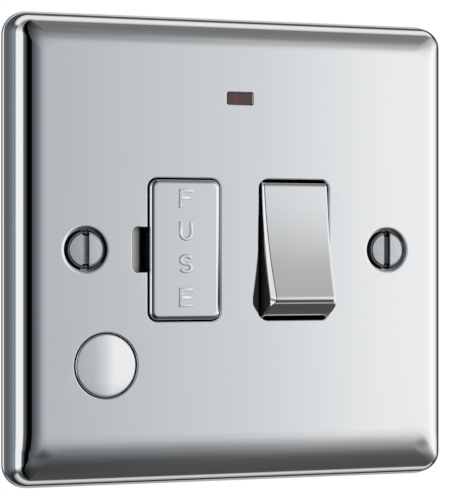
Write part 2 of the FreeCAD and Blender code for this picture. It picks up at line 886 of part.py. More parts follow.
def neutral_fixed_contact():
    """Contact button and the strip round to the lower neutral terminal."""
    x = pole_xs[1]
    y0, y1 = contact_strip_y, contact_strip_y + strip_t
    z0, z1 = contact_top() - strip_w, contact_top()
    side_x = x + cheek_outer() + pocket_fit + seat_gap + strip_w
    across = box(x - strip_w / 2, side_x, y0, y1, z0, z1)
    down = box(side_x - strip_w, side_x, y0, y1, -terminal_z0 + 0.6, z1)
    foot = box(terminal_x - strip_w / 2, side_x, y0, y1, -terminal_z0,
               -terminal_z0 + strip_w)
    button = rod_y(contact_r, fixed_contact_y, y0, x, contact_z)
    tab_z1 = neutral_tab_top()
    riser = box(x - strip_w / 2, x, y0, y1, z0, tab_z1)
    tab = box(lead_x - tab_w / 2, x, y0, y1, tab_z1 - tab_w, tab_z1)
    return fused([across, down, foot, button, riser, tab])


def clip_right_x():
    return fuse_x + clip_inner + clip_t


def fuse_clip(side):
    """Spring fork round one fuse cap, open to the front."""
    inner = clip_inner
    outer = inner + clip_t
    z0, z1 = sorted((side * clip_z0, side * clip_z1))
    base0, base1 = clip_base_y, clip_base_y + clip_t
    bits = [box(fuse_x - outer, fuse_x + outer, base0, base1, z0, z1)]
    for way in (-1, 1):
        a, b = sorted((fuse_x + way * inner, fuse_x + way * outer))
        bits.append(box(a, b, clip_front_y, base1, z0, z1))
        tip = box(a, b, clip_front_y - clip_mouth_l, clip_front_y + clip_t / 5, z0, z1)
        hinge = V((a + b) / 2, clip_front_y, 0)
        bits.append(tip.rotated(hinge, V(0, 0, 1), way * clip_mouth_angle))
    if side < 0:
        reach = terminal_front_y + 1
        bits.append(box(fuse_x - outer, fuse_x + outer, base0, base1, -terminal_z0, z1))
        bits.append(box(fuse_x - outer, fuse_x + outer, base0, reach, -terminal_z0,
                        -terminal_z0 + clip_t))
    return fused(bits)


def fuse_cover():
    """Bright cap over the drawer's front, hollow behind."""
    w = fuse_window_w - 2 * cover_gap
    h = window_h - 2 * cover_gap
    front = face_y - cover_proud
    cap = pad(fuse_x, 0, w, h, cover_corner_r, front, front + cover_depth)
    edges = [e for e in cap.Edges if e.BoundBox.YMax < front + 1e-6]
    cap = cap.makeFillet(cover_edge_r, edges)
    hollow = pad(fuse_x, 0, w - 2 * cover_t, h - 2 * cover_t, cover_corner_r - cover_t,
                 front + cover_t, front + cover_depth + 1)
    return cap.cut(hollow)


def fuse_carrier():
    """Drawer that holds the fuse by its middle, open on the notch side."""
    inset = cover_gap + cover_t + carrier_fit
    w = fuse_window_w - 2 * inset
    h = window_h - 2 * inset
    front = face_y - cover_proud + cover_t + carrier_fit
    head = pad(fuse_x, 0, w, h, cover_corner_r - cover_t, front, carrier_rear)
    step_y = face_y - cover_proud + cover_depth + carrier_fit
    flange = pad(fuse_x, 0, fuse_window_w - 2 * cover_gap, window_h - 2 * cover_gap,
                 cover_corner_r, step_y, carrier_rear)
    grip_r = fuse_barrel_r + running_fit
    back = fuse_axis_y + grip_r + cradle_wall
    cradle = box(fuse_x - grip_r * 0.8, fuse_x + grip_r + cradle_wall, carrier_rear, back,
                 -cradle_half_h, cradle_half_h)
    bits = [head, flange, cradle]
    right = rail_right_x()
    for side in (-1, 1):
        z0 = side * rail_z - rail_h / 2
        z1 = side * rail_z + rail_h / 2
        bits.append(box(right - rail_t, right, carrier_rear, rail_end_y, z0, z1))
        bits.append(box(right - rail_t, right + rail_lug, rail_end_y - rail_lug_l,
                        rail_end_y, z0, z1))
    body = fused(bits)
    seat = rod_z(grip_r, -window_half, window_half, fuse_x, fuse_axis_y)
    mouth = box(fuse_x - fuse_window_w, fuse_x, fuse_axis_y - cradle_mouth / 2,
                fuse_axis_y + cradle_mouth / 2, -window_half, window_half)
    caps = rod_z(fuse_cap_r + seat_gap, cradle_half_h, window_half, fuse_x, fuse_axis_y)
    return body.cut([seat, mouth, caps]).removeSplitter()


def fuse_barrel():
    half = fuse_length / 2 - fuse_cap_t - fuse_fit
    return rod_z(fuse_barrel_r, -half, half, fuse_x, fuse_axis_y)


def fuse_caps():
    caps = []
    for side in (-1, 1):
        inner = side * (fuse_length / 2 - fuse_cap_l)
        outer = side * fuse_length / 2
        z0, z1 = sorted((inner, outer))
        cap = rod_z(fuse_cap_r, z0, z1, fuse_x, fuse_axis_y)
        floor = side * (fuse_length / 2 - fuse_cap_t)
        a, b = sorted((inner - side, floor))
        caps.append(cap.cut(rod_z(fuse_barrel_r + cap_fit, a, b, fuse_x, fuse_axis_y)))
    return Part.Compound(caps)


def housing_ribs():
    """Pockets for the terminals, posts for the screws and anvils behind the metal."""
    ribs = []
    inner = housing_half - housing_wall
    y1 = housing_inner_rear + 0.5
    for side in (-1, 1):
        z0, z1 = sorted((side * (terminal_z0 + 0.5), side * (inner + 0.5)))
        for x in (-terminal_x, 0.0, terminal_x):
            for way in (-1, 1):
                near = x + way * (terminal_half_w + pocket_fit)
                x0, x1 = sorted((near, near + way * pocket_rib_t))
                ribs.append(box(x0, x1, terminal_front_y, y1, z0, z1))
    for z in housing_screw_z:
        ribs.append(rod_y(post_r, block_rear, y1, 0, z))
    anvil_y = fulcrum_base_y + strip_t
    x0 = pole_xs[0] - anvil_half
    x1 = pole_xs[1] + anvil_half
    ribs.append(box(x0, x1, anvil_y, y1, -anvil_half, anvil_half))
    for side in (-1, 1):
        z = side * (clip_z0 + clip_z1) / 2
        ribs.append(box(fuse_x - anvil_half, fuse_x + anvil_half, clip_base_y + clip_t, y1,
                        z - anvil_half, z + anvil_half))
    return ribs


def rear_housing():
    points = housing_points()
    outer = outline_prism(points, 0, slab_back, housing_rear)
    edges = [e for e in outer.Edges if e.BoundBox.YMin > housing_rear - 1e-6]
    outer = outer.makeFillet(housing_edge_r, edges)
    cavity = outline_prism(points, housing_wall, slab_back, housing_inner_rear)
    limit = outline_prism(points, housing_wall / 2, slab_back, housing_rear)
    body = fused([outer.cut(cavity)] + [rib.common(limit) for rib in housing_ribs()])
    cuts = []
    for x, side in terminal_places():
        z0, z1 = sorted((side * terminal_z0, side * (housing_half + 1)))
        wide = wire_r + entry_clear
        cuts.append(box(x - wide, x + wide, wire_y - wide, wire_y + wide, z0, z1))
        cuts.append(rod_y(clamp_head_r + 0.4, housing_inner_rear, housing_rear, x,
                          side * (terminal_z0 + terminal_l / 2)))
    for z in housing_screw_z:
        sink_y = housing_rear - housing_screw_sink
        cuts.append(rod_y(housing_screw_r + thread_bite, block_rear, housing_rear, 0, z))
        cuts.append(rod_y(housing_screw_head_r + pocket_fit, sink_y, housing_rear, 0, z))
    for side, y in ((-1, resistor_y() + 0.4), (1, resistor_y())):
        cuts.append(rod_z(lead_r + 0.25, housing_half - housing_wall - 1, housing_half + 1,
                          side * lead_x, y))
    return body.cut(cuts).Solids[0]


def housing_screws():
    screws = []
    for z in housing_screw_z:
        seat = housing_rear - housing_screw_sink
        shank = rod_y(housing_screw_r - thread_bite, block_rear - housing_screw_bite,
                      seat, 0, z)
        head = rod_y(housing_screw_head_r, seat, housing_rear - pocket_fit, 0, z)
        screws.append(fused([shank, head]))
    return Part.Compound(screws)


def terminal_places():
    return [(x, side) for side in (1, -1) for x in (-terminal_x, 0.0, terminal_x)]


def terminal(x, side):
    """Brass block with a wire hole along Z and a clamp screw from behind."""
    z0, z1 = sorted((side * terminal_z0, side * terminal_z1))
    block = box(x - terminal_half_w, x + terminal_half_w, terminal_front_y, terminal_rear_y,
                z0, z1)
    wire = rod_z(wire_r, z0, z1, x, wire_y)
    middle = (z0 + z1) / 2
    tapped = rod_y(clamp_screw_r, wire_y, terminal_rear_y, x, middle)
    return block.cut([wire, tapped])


def terminal_screws():
    screws = []
    for x, side in terminal_places():
        z = side * (terminal_z0 + terminal_l / 2)
        tip = wire_y + wire_r + clamp_retract
        seat = terminal_rear_y + 0.02
        shank = rod_y(clamp_screw_r - running_fit, tip, seat, x, z)
        head = rod_y(clamp_head_r, seat, seat + clamp_head_t, x, z)
        screws.append(fused([shank, head]))
    return Part.Compound(screws)


def earth_strap():
    """Strip between the earth terminals, with a leg to the metal plate at each end."""
    y0 = block_rear + 1.0
    y1 = y0 + strip_t
    end = abs(leg_z(1)) + strip_t / 2
    bits = [box(-leg_half_w(), leg_half_w(), y0, y1, -end, end)]
    bits += [rod_y(post_r + eye_wall, y0, y1, 0, z) for z in housing_screw_z]
    for side in (-1, 1):
        z = leg_z(side)
        bits.append(box(-leg_half_w(), leg_half_w(), back_y, y1, z - strip_t / 2,
                        z + strip_t / 2))
        a, b = sorted((z, side * (terminal_z0 + 2.5)))
        bits.append(box(-leg_half_w(), leg_half_w(), y0, y1, a, b))
        a, b = sorted((side * (terminal_z0 + 2.5), side * (terminal_z0 + 2.5 - strip_t)))
        bits.append(box(-leg_half_w(), leg_half_w(), y0, terminal_front_y, a, b))
    body = fused(bits)
    return body.cut([rod_y(post_r + 0.2, y0, y1, 0, z) for z in housing_screw_z])


NODES = {
    "front_plate": front_plate,
    "plate_screws": plate_screws,
    "front_moulding": front_moulding,
    "neon_lens": neon_lens,
    "neon_lamp": neon_lamp,
    "neon_resistor": neon_resistor,
    "neon_leads": neon_leads,
    "flex_outlet_plug": flex_outlet_plug,
    "rocker_cover": rocker_cover,
    "rocker_body": rocker_body,
    "live_plunger": lambda: plunger(pole_xs[0]),
    "neutral_plunger": lambda: plunger(pole_xs[1]),
    "live_plunger_spring": lambda: plunger_spring(pole_xs[0]),
    "neutral_plunger_spring": lambda: plunger_spring(pole_xs[1]),
    "live_contact_blade": lambda: contact_blade(pole_xs[0]),
    "neutral_contact_blade": lambda: contact_blade(pole_xs[1]),
    "live_fulcrum": lambda: fulcrum(pole_xs[0], -terminal_x),
    "neutral_fulcrum": lambda: fulcrum(pole_xs[1], terminal_x),
    "live_fixed_contact": live_fixed_contact,
    "neutral_fixed_contact": neutral_fixed_contact,
    "fuse_clip_top": lambda: fuse_clip(1),
    "fuse_clip_bottom": lambda: fuse_clip(-1),
    "fuse_cover": fuse_cover,
    "fuse_carrier": fuse_carrier,
    "fuse_barrel": fuse_barrel,
    "fuse_caps": fuse_caps,
    "rear_housing": rear_housing,
    "housing_screws": housing_screws,
    "supply_live_terminal": lambda: terminal(-terminal_x, 1),
    "supply_neutral_terminal": lambda: terminal(terminal_x, 1),
    "load_live_terminal": lambda: terminal(-terminal_x, -1),
    "load_neutral_terminal": lambda: terminal(terminal_x, -1),
    "upper_earth_terminal": lambda: terminal(0.0, 1),
    "lower_earth_terminal": lambda: terminal(0.0, -1),
    "terminal_screws": terminal_screws,
    "earth_strap": earth_strap,
}

os.makedirs("parts", exist_ok=True)
for name, make in NODES.items():
    shape = make()
    if not shape.isValid() or shape.Volume <= 0:
        print("not sound:", name)
    shape.exportStep("parts/" + name + ".step")
    print(name, len(shape.Solids), round(shape.Volume, 1))
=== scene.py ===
import json
import math

import bmesh
import bpy
from mathutils import Matrix, Vector


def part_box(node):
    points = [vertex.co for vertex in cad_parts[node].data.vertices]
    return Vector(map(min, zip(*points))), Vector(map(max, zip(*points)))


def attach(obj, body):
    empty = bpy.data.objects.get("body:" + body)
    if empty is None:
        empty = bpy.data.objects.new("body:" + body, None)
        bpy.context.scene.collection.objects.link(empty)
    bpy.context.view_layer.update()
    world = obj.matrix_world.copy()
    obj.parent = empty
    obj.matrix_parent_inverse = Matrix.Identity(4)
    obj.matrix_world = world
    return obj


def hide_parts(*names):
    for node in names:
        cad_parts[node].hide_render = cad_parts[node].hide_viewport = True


# A one-gang fused spur unit with a polished metal front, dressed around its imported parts.
# Sizes are in millimetres and are turned into metres where a mesh is made.
MM = 0.001

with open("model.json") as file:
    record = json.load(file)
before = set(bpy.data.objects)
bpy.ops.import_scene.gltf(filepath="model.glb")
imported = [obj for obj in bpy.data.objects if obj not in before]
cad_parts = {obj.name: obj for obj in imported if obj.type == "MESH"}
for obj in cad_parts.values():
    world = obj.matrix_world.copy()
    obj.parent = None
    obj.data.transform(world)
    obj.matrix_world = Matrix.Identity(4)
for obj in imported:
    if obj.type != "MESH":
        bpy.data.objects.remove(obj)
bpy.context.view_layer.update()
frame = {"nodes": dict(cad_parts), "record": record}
cad = frame["nodes"]


def node_box(name):
    low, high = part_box(name)
    return low / MM, high / MM


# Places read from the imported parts
plate_high = node_box("front_plate")[1]
fuse_low, fuse_high = node_box("fuse_cover")
plug_low, plug_high = node_box("flex_outlet_plug")
lens_low, lens_high = node_box("neon_lens")
rocker_low, rocker_high = node_box("rocker_cover")

# Pressed plate
half_side = plate_high.x
sheet = 1.0
wall_draft = 10.0
face_edge_r = 6.0
fillet_steps = 24
corner_r = 4.5
rim_gap = 0.003
rim_edge_r = 0.12
rim_band = 1.0
flare_angle = 45.0
flare_run = 0.14
flare_r = 0.45
crown_start = 32.9
crown_r = 22.0
crown_steps = 8
pierced_r = 0.3
face_y = -8.0
back_y = face_y + sheet
mitre_r = 2.2

# Windows
fuse_x = (fuse_low.x + fuse_high.x) / 2
rocker_x = (rocker_low.x + rocker_high.x) / 2
window_h = 26.6
fuse_window_w = 14.25
fuse_window_r = 1.8
rocker_window_w = 14.2
rocker_window_r = 1.7
notch_reach = 2.95
notch_h = 8.2
notch_r = 1.0
lip_reach = 1.75
lip_drop = 1.4
lip_curve = 1.6
lip_steps = 8
lip_back = 0.3
lip_foot = 0.4
lip_bite = 0.1
neon_z = (lens_low.z + lens_high.z) / 2
neon_w = 5.1
neon_h = 2.15
neon_r = 0.3
outlet_x = (plug_low.x + plug_high.x) / 2
outlet_z = (plug_low.z + plug_high.z) / 2
outlet_r = 6.02

# Screws and their dimples
screw_x = 30.15
head_r = 3.4
head_sink = 0.35
head_rise = 0.7
head_crown = 0.14
head_disc_r = 2.95
head_step = 0.13
head_ledge_r = 3.25
ledge_fall = 0.05
head_rim_inset = 0.04
head_rim_fall = 0.2
head_cone_drop = 0.12
turning_pitch = 0.36
slot_w = 1.34
slot_d = 1.6
shank_r = 1.75
core_r = 1.4
shank_end = 17.0
shank_start = -0.02
plate_pitch = 0.6
rear_pitch = 0.5
pan_edge = 0.15
smooth_turn = 0.6
# Head radius and height, shank and core radius, slot width and depth of the screws at the rear
clamp_screw = ((2.3, 1.4), (1.45, 1.15), (0.7, 0.75))
cover_screw = ((2.5, 1.2), (1.3, 1.0), (0.8, 0.7))
dimple_cone_r = 3.77
dimple_blend_r = 1.13
dimple_turn = 32.0
dimple_shelf_r = 4.05
dimple_wall_r = 3.55
dimple_hole_r = 2.1
dimple_depth = 2.2
dimple_draft = 0.02
dimple_land = 0.05

# Rocker cover
pivot_y = -4.6
half_travel = 13.5
end_r = 13.15
face_mid = 5.9
face_r = 69.0
end_edge_r = 1.0
cheek_inset = 1.25
cheek_t = 0.3
flank_fall = 1.19
flank_top = 0.33
flank_foot = 0.92
cheek_end_inset = 0.3
cheek_gap = 0.02
cheek_soft = 0.06
flank_soft = 0.12
flank_soft_steps = 4
flank_least = 0.06
flank_growth = 1.35
dish_steps = 20
rocker_steps = 25
corner_steps = 7
rocker_w = 13.3
rocker_t = 0.8
skirt_u = -4.06

# Fuse cover and its letters
cover_edge_r = 0.95
cover_corner_r = 1.6
cover_t = 0.7
cover_depth = 2.4
letter_w = 2.75
letter_h = 3.55
letter_stroke = 0.68
letter_proud = 0.16
letter_root = 0.2
letter_bevel = 0.1
letter_z = (9.5, 3.45, -2.6, -8.85)

# Blanking plug
plug_r = 5.86
dome_r = 42.0
plug_lean = 2.9
plug_cap_t = 0.5
plug_edge_y = face_y - 0.04
plug_break = 0.35
snap_r = 6.5
snap_h = 0.8
snap_slope_h = 1.6
skirt_bore_r = 4.7
skirt_floor = 1.4
skirt_depth = 4.6
skirt_gap = 0.01
skirt_inset = 0.02
snap_gap = 0.05

# Studio, in metres
floor_level = -1.3
floor_reach = 8.0
tent_r = 1.25
world_light = 0.75

# Camera of the photograph, found from the screws, the horizon and the outlet
focal_px = 2145.0
frame_px = 496.0
sensor_mm = 36.0
camera_place = (-141.7, face_y - 376.8, -1.2)
camera_turn = 20.6
axis_px = (239.6, 256.2)
picture_px = (449.0, 496.0)


def lit(shade):
    """Linear light of a shade given from 0 to 255 as it looks on a screen."""
    return ((shade / 255 + 0.055) / 1.055) ** 2.4


def card_shade(shade):
    """Colour of a studio card of that shade. The darker cards are a cooler grey."""
    cool = min((240 - shade) / 140, 1.0) if shade < 240 else 0.0
    return (lit(shade * (1 - 0.07 * cool)), lit(shade), lit(shade * (1 + 0.055 * cool)), 1.0)


def screen(red, green, blue):
    return (lit(red), lit(green), lit(blue), 1.0)


def in_scene(name, data):
    """New object in the scene, at the origin."""
    thing = bpy.data.objects.new(name, data)
    bpy.context.scene.collection.objects.link(thing)
    return thing


def mesh_of(name, bm):
    """Mesh made from the edited one, which is freed."""
    mesh = bpy.data.meshes.new(name)
    bm.to_mesh(mesh)
    bm.free()
    return mesh


def smooth_to_metres(bm, limit):
    """Turns millimetres into metres and keeps the edges sharp that turn by more than limit."""
    bmesh.ops.recalc_face_normals(bm, faces=bm.faces)
    bmesh.ops.scale(bm, vec=(MM, MM, MM), verts=bm.verts)
    for face in bm.faces:
        face.smooth = True
    for edge in bm.edges:
        edge.smooth = len(edge.link_faces) == 2 and edge.calc_face_angle(0.0) < limit


def finish_mesh(bm, name, material, body, replaced, angle):
    """Makes the piece, with its flat faces kept flat."""
    bmesh.ops.remove_doubles(bm, verts=bm.verts, dist=0.0004)
    smooth_to_metres(bm, math.radians(angle))
    piece = in_scene(name, mesh_of(name, bm))
    weigh = piece.modifiers.new("flat_faces", "WEIGHTED_NORMAL")
    weigh.mode = "FACE_AREA"
    weigh.weight = 90
    weigh.keep_sharp = True
    dress(piece, material, body, replaced)


def dress(piece, material, body, replaced):
    """Gives a piece its finish and its body, and hides the imported parts it replaces."""
    piece.data.materials.clear()
    piece.data.materials.append(material)
    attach(piece, body)
    if replaced:
        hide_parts(*replaced)


def rounded(cx, cz, half_w, half_h, r, y, steps=8):
    """Rounded rectangle at depth y, as points in order."""
    points = []
    corners = ((1, -1, -90), (1, 1, 0), (-1, 1, 90), (-1, -1, 180))
    for sx, sz, start in corners:
        for i in range(steps + 1):
            a = math.radians(start + 90 * i / steps)
            x = cx + sx * (half_w - r) + r * math.cos(a)
            z = cz + sz * (half_h - r) + r * math.sin(a)
            points.append((x, y, z))
    return points


def circle(cx, cz, r, y, steps=96):
    points = []
    for i in range(steps):
        a = 2 * math.pi * i / steps
        points.append((cx + r * math.cos(a), y, cz + r * math.sin(a)))
    return points


def add_ring(bm, points):
    return [bm.verts.new(p) for p in points]


def join_rings(bm, rings):
    """Quads between each ring and the next, all with the same count of points."""
    for a, b in zip(rings, rings[1:]):
        n = len(a)
        for i in range(n):
            bm.faces.new((a[i], a[(i + 1) % n], b[(i + 1) % n], b[i]))


def fill_between(bm, loops):
    """Flat sheet inside the first loop and outside the others."""
    edges = []
    for loop in loops:
        n = len(loop)
        for i in range(n):
            pair = (loop[i], loop[(i + 1) % n])
            edges.append(bm.edges.get(pair) or bm.edges.new(pair))
    bmesh.ops.triangle_fill(bm, use_beauty=True, use_dissolve=False, edges=edges)


def arc_steps(a0, a1, count):
    return [math.radians(a0 + (a1 - a0) * i / count) for i in range(count + 1)]


def rim_line(half):
    """Trimmed band at the rim and the flare above it, as half width and depth."""
    line = [(half - rim_edge_r, 0.0), (half - 0.3 * rim_edge_r, -0.3 * rim_edge_r),
            (half, -rim_edge_r), (half, -rim_band)]
    s = half
    y = -rim_band
    edge = rim_edge_r
    for a in arc_steps(0, flare_angle, 3)[1:]:
        line.append((s - edge * (1 - math.cos(a)), y - edge * math.sin(a)))
    s, y = line[-1]
    slope = math.radians(flare_angle)
    s -= flare_run * math.sin(slope)
    y -= flare_run * math.cos(slope)
    for a in arc_steps(flare_angle, wall_draft, 5):
        line.append((s - flare_r * (math.cos(a) - math.cos(slope)),
                     y - flare_r * (math.sin(slope) - math.sin(a))))
    return line


def press_line(half, depth, r, trimmed):
    """Half width and depth along the pressed section, from the rim to the face."""
    draft = math.radians(wall_draft)
    centre_y = -depth + r
    centre_s = half + centre_y * math.tan(draft) - r / math.cos(draft)
    line = rim_line(half - rim_gap) if trimmed else [(half, 0.0)]
    for a in arc_steps(-wall_draft, -90, fillet_steps):
        line.append((centre_s + r * math.cos(a), centre_y + r * math.sin(a)))
    return line


def fade_out(s, start, end):
    """Smooth step from one at start to none at end."""
    t = min(max((s - start) / (end - start), 0.0), 1.0)
    return 1 - t * t * (3 - 2 * t)


def crown_depth(down, face_s, wall_s):
    """How far the face falls back towards its lower edge, and less so round the fillet."""
    if down <= face_s:
        return max(down - crown_start, 0.0) ** 2 / (2 * crown_r)
    run = wall_s - face_s
    t = min((down - face_s) / run, 1.0)
    start = (face_s - crown_start) ** 2 / (2 * crown_r)
    slope = (face_s - crown_start) / crown_r
    late = max(2 * t - 1, 0.0)
    kept = 1 - late ** 2 * (3 - 2 * late)
    return start * kept + slope * run * (t ** 3 - 2 * t ** 2 + t)


def crown_lower_edge(bm, face_s, wall_s, wall_y):
    """Bends the lower edge of the pressed face softly back."""
    step = (face_s - crown_start) / crown_steps
    for i in range(crown_steps):
        front = [f for f in bm.faces if max(v.co.y for v in f.verts) < wall_y + 1e-3]
        parts = set(front)
        for face in front:
            parts.update(face.edges)
            parts.update(face.verts)
        bmesh.ops.bisect_plane(bm, geom=list(parts), dist=1e-4, plane_no=(0, 0, 1),
                               plane_co=(0, 0, -crown_start - i * step))
    for vert in bm.verts:
        if vert.co.z < -crown_start and vert.co.y < wall_y - 1e-3:
            across = fade_out(abs(vert.co.x), face_s, wall_s)
            vert.co.y += across * crown_depth(-vert.co.z, face_s, wall_s)


def press_ring(bm, s, y):
    centre = half_side - corner_r
    r = max(s - centre, mitre_r)
    return add_ring(bm, rounded(0, 0, s, s, r, y, 16))


def fuse_outline(grow, y):
    """Outline of the fuse window with its notch on the left, grown outwards."""
    half_w = fuse_window_w / 2 + grow
    half_h = window_h / 2 + grow
    r = fuse_window_r + grow
    left = fuse_x - half_w
    notch_left = fuse_x - fuse_window_w / 2 - notch_reach - grow
    notch_half = notch_h / 2 + grow
    small = notch_r + grow
    points = rounded(fuse_x, 0, half_w, half_h, r, y)
    count = len(points) // 4
    upper = points[:3 * count]
    lower = points[3 * count:]
    notch = [(left, y, notch_half)]
    for cz, start in ((notch_half - small, 90), (small - notch_half, 180)):
        for a in arc_steps(start, start + 90, 6):
            notch.append((notch_left + small + small * math.cos(a), y, cz + small * math.sin(a)))
    notch.append((left, y, -notch_half))
    return upper + notch + lower


def pierced(bm, outline):
    """Rounded edge and wall of a hole, from the face to the sheet's back."""
    rings = []
    for a in arc_steps(0, 90, 5):
        grow = pierced_r * (1 - math.sin(a))
        y = face_y + pierced_r * (1 - math.cos(a))
        rings.append(add_ring(bm, outline(grow, y)))
    rings.append(add_ring(bm, outline(0.0, back_y)))
    join_rings(bm, rings)
    return rings[0], rings[-1]


def dimple(bm, side):
    """Smooth sloped dimple round a fixing screw, with a steep drop beside the head."""
    x = side * screw_x
    turn = math.radians(dimple_turn)
    flat_r = dimple_shelf_r + dimple_blend_r * math.sin(turn)
    line = []
    for a in arc_steps(0, dimple_turn, 10):
        line.append((flat_r - dimple_blend_r * math.sin(a),
                     face_y + dimple_blend_r * (1 - math.cos(a))))
    wall_y = line[-1][1] + (dimple_shelf_r - dimple_wall_r) * math.tan(turn)
    foot_y = face_y + dimple_depth
    land_y = foot_y - dimple_land
    seat_y = land_y - (dimple_wall_r - dimple_hole_r)
    outer = dimple_cone_r + sheet * math.sqrt(2)
    line += [(dimple_wall_r, wall_y), (dimple_wall_r - dimple_draft, seat_y),
             (dimple_hole_r, land_y), (dimple_hole_r, foot_y),
             (outer - dimple_depth, foot_y), (outer - sheet, back_y)]
    rings = [add_ring(bm, circle(x, 0, r, y)) for r, y in line]
    join_rings(bm, rings)
    return rings[0], rings[-1]


def front_plate(material):
    bm = bmesh.new()
    outer = press_line(half_side, -face_y, face_edge_r, True)
    inner_half = half_side - sheet / math.cos(math.radians(wall_draft))
    inner = press_line(inner_half, -back_y, face_edge_r - sheet, False)
    shell = [press_ring(bm, s, y) for s, y in outer]
    join_rings(bm, shell)

    def rocker_hole(grow, y):
        return rounded(rocker_x, 0, rocker_window_w / 2 + grow, window_h / 2 + grow,
                       rocker_window_r + grow, y)

    def neon_hole(grow, y):
        return rounded(0, neon_z, neon_w / 2 + grow, neon_h / 2 + grow, neon_r + grow, y)

    def outlet_hole(grow, y):
        return circle(outlet_x, outlet_z, outlet_r + grow, y)

    holes = [pierced(bm, h) for h in (fuse_outline, rocker_hole, neon_hole, outlet_hole)]
    holes += [dimple(bm, side) for side in (-1, 1)]
    fill_between(bm, [shell[-1]] + [front for front, back in holes])
    wall_s, wall_y = outer[len(outer) - fillet_steps - 1]
    crown_lower_edge(bm, outer[-1][0], wall_s, wall_y)
    lining = [press_ring(bm, s, y) for s, y in reversed(inner)]
    join_rings(bm, lining + shell[:1])
    fill_between(bm, [lining[0]] + [back for front, back in holes])
    finish_mesh(bm, "polished_plate", material, "root", ["front_plate"],
                35)


def notch_lip(material):
    """Edge of the sheet turned in at the notch, dull where it was cut and bent."""
    left = fuse_x - fuse_window_w / 2 - notch_reach
    start = face_y + pierced_r
    section = []
    for i in range(lip_steps + 1):
        t = i / lip_steps
        section.append((left + lip_reach * t, start + lip_drop * t ** lip_curve))
    section += [(left + lip_reach - lip_back, start + lip_drop + lip_back),
                (left + lip_back, back_y + lip_foot), (left - lip_bite, back_y),
                (left - lip_bite, start)]

    def reach(x):
        """Half height of the notch at this place in its rounded corner."""
        inside = min(max(notch_r - (x - left), 0.0), notch_r)
        return notch_h / 2 - notch_r + math.sqrt(notch_r ** 2 - inside ** 2) + 0.02

    bm = bmesh.new()
    ends = [add_ring(bm, [(x, y, side * reach(x)) for x, y in section]) for side in (-1, 1)]
    join_rings(bm, ends)
    for end in ends:
        bm.faces.new(end)
    finish_mesh(bm, "notch_lip", material, "root", (), 40)


def lathe(bm, line, x, z, steps=96):
    """Closed turned form about the line along Y, from an open or closed section."""
    rings = []
    for r, y in line:
        if r < 1e-6:
            rings.append([bm.verts.new((x, y, z))])
        else:
            rings.append(add_ring(bm, circle(x, z, r, y, steps)))
    for a, b in zip(rings, rings[1:]):
        if len(a) == 1:
            for i in range(steps):
                bm.faces.new((a[0], b[i], b[(i + 1) % steps]))
        elif len(b) == 1:
            for i in range(steps):
                bm.faces.new((a[i], a[(i + 1) % steps], b[0]))
        else:
            join_rings(bm, [a, b])


def lean_plug(bm):
    """Seats the front of the plug slightly askew, as in the photograph."""
    lean = Matrix.Rotation(math.radians(plug_lean), 4, "Z")
    seat = Vector((outlet_x, plug_edge_y, 0))
    for vert in bm.verts:
        if vert.co.y < back_y:
            vert.co = lean @ (vert.co - seat) + seat


def outlet_plug(material):
    """Bright domed cap of the blanking plug."""
    turn = math.degrees(math.asin((plug_r - plug_break) / (dome_r - plug_break)))
    round_y = plug_edge_y + plug_break
    centre_y = round_y + (dome_r - plug_break) * math.cos(math.radians(turn))
    line = []
    for a in arc_steps(0, turn, 12):
        line.append((dome_r * math.sin(a), centre_y - dome_r * math.cos(a)))
    for a in arc_steps(turn, 90, 8)[1:]:
        line.append((plug_r - plug_break + plug_break * math.sin(a),
                     round_y - plug_break * math.cos(a)))
    line += [(plug_r, plug_edge_y + plug_cap_t), (0.0, plug_edge_y + plug_cap_t)]
    bm = bmesh.new()
    lathe(bm, line, outlet_x, outlet_z)
    lean_plug(bm)
    finish_mesh(bm, "outlet_plug_cap", material, "root", ["flex_outlet_plug"],
                30)


def outlet_plug_skirt(material):
    """Dark body of the plug behind its cap, with the snap ring that holds it."""
    top_y = plug_edge_y + plug_cap_t + skirt_gap
    snap_y = back_y + snap_gap
    skirt_r = plug_r - skirt_inset
    end_y = plug_edge_y + skirt_depth
    bore_y = plug_edge_y + skirt_floor
    line = [(0.0, top_y), (skirt_r, top_y), (skirt_r, snap_y), (snap_r, snap_y),
            (snap_r, snap_y + snap_h), (skirt_r, snap_y + snap_slope_h), (skirt_r, end_y),
            (skirt_bore_r, end_y), (skirt_bore_r, bore_y), (0.0, bore_y)]
    bm = bmesh.new()
    lathe(bm, line, outlet_x, outlet_z)
    lean_plug(bm)
    finish_mesh(bm, "outlet_plug_skirt", material, "root", (), 30)


def rocker_line(inset):
    """Side view of the rocker as (front, up) points about its pivot, drawn in by inset."""
    ring_r = end_r - inset
    dish_r = face_r + inset
    edge_r = max(end_edge_r - inset, 0.0)
    centre = face_mid + face_r
    u = ((ring_r - edge_r) ** 2 - (dish_r + edge_r) ** 2 + centre ** 2) / (2 * centre)
    w = math.sqrt((ring_r - edge_r) ** 2 - u ** 2)
    out = math.atan2(w, u)
    into = math.atan2(w, u - centre)
    start = math.acos(skirt_u / ring_r)
    side = []
    for i in range(rocker_steps):
        a = start + (out - start) * i / (rocker_steps - 1)
        side.append((ring_r * math.cos(a), ring_r * math.sin(a)))
    for i in range(1, corner_steps + 1):
        a = out + (into - math.pi - out) * i / (corner_steps + 1)
        side.append((u + edge_r * math.cos(a), w + edge_r * math.sin(a)))
    dish = []
    for i in range(dish_steps + 1):
        a = into + (math.pi - into) * i / dish_steps
        dish.append((centre + dish_r * math.cos(a), dish_r * math.sin(a)))
    half = side + dish
    mirrored = [(p, -q) for p, q in reversed(half[:-1])]
    return half + mirrored


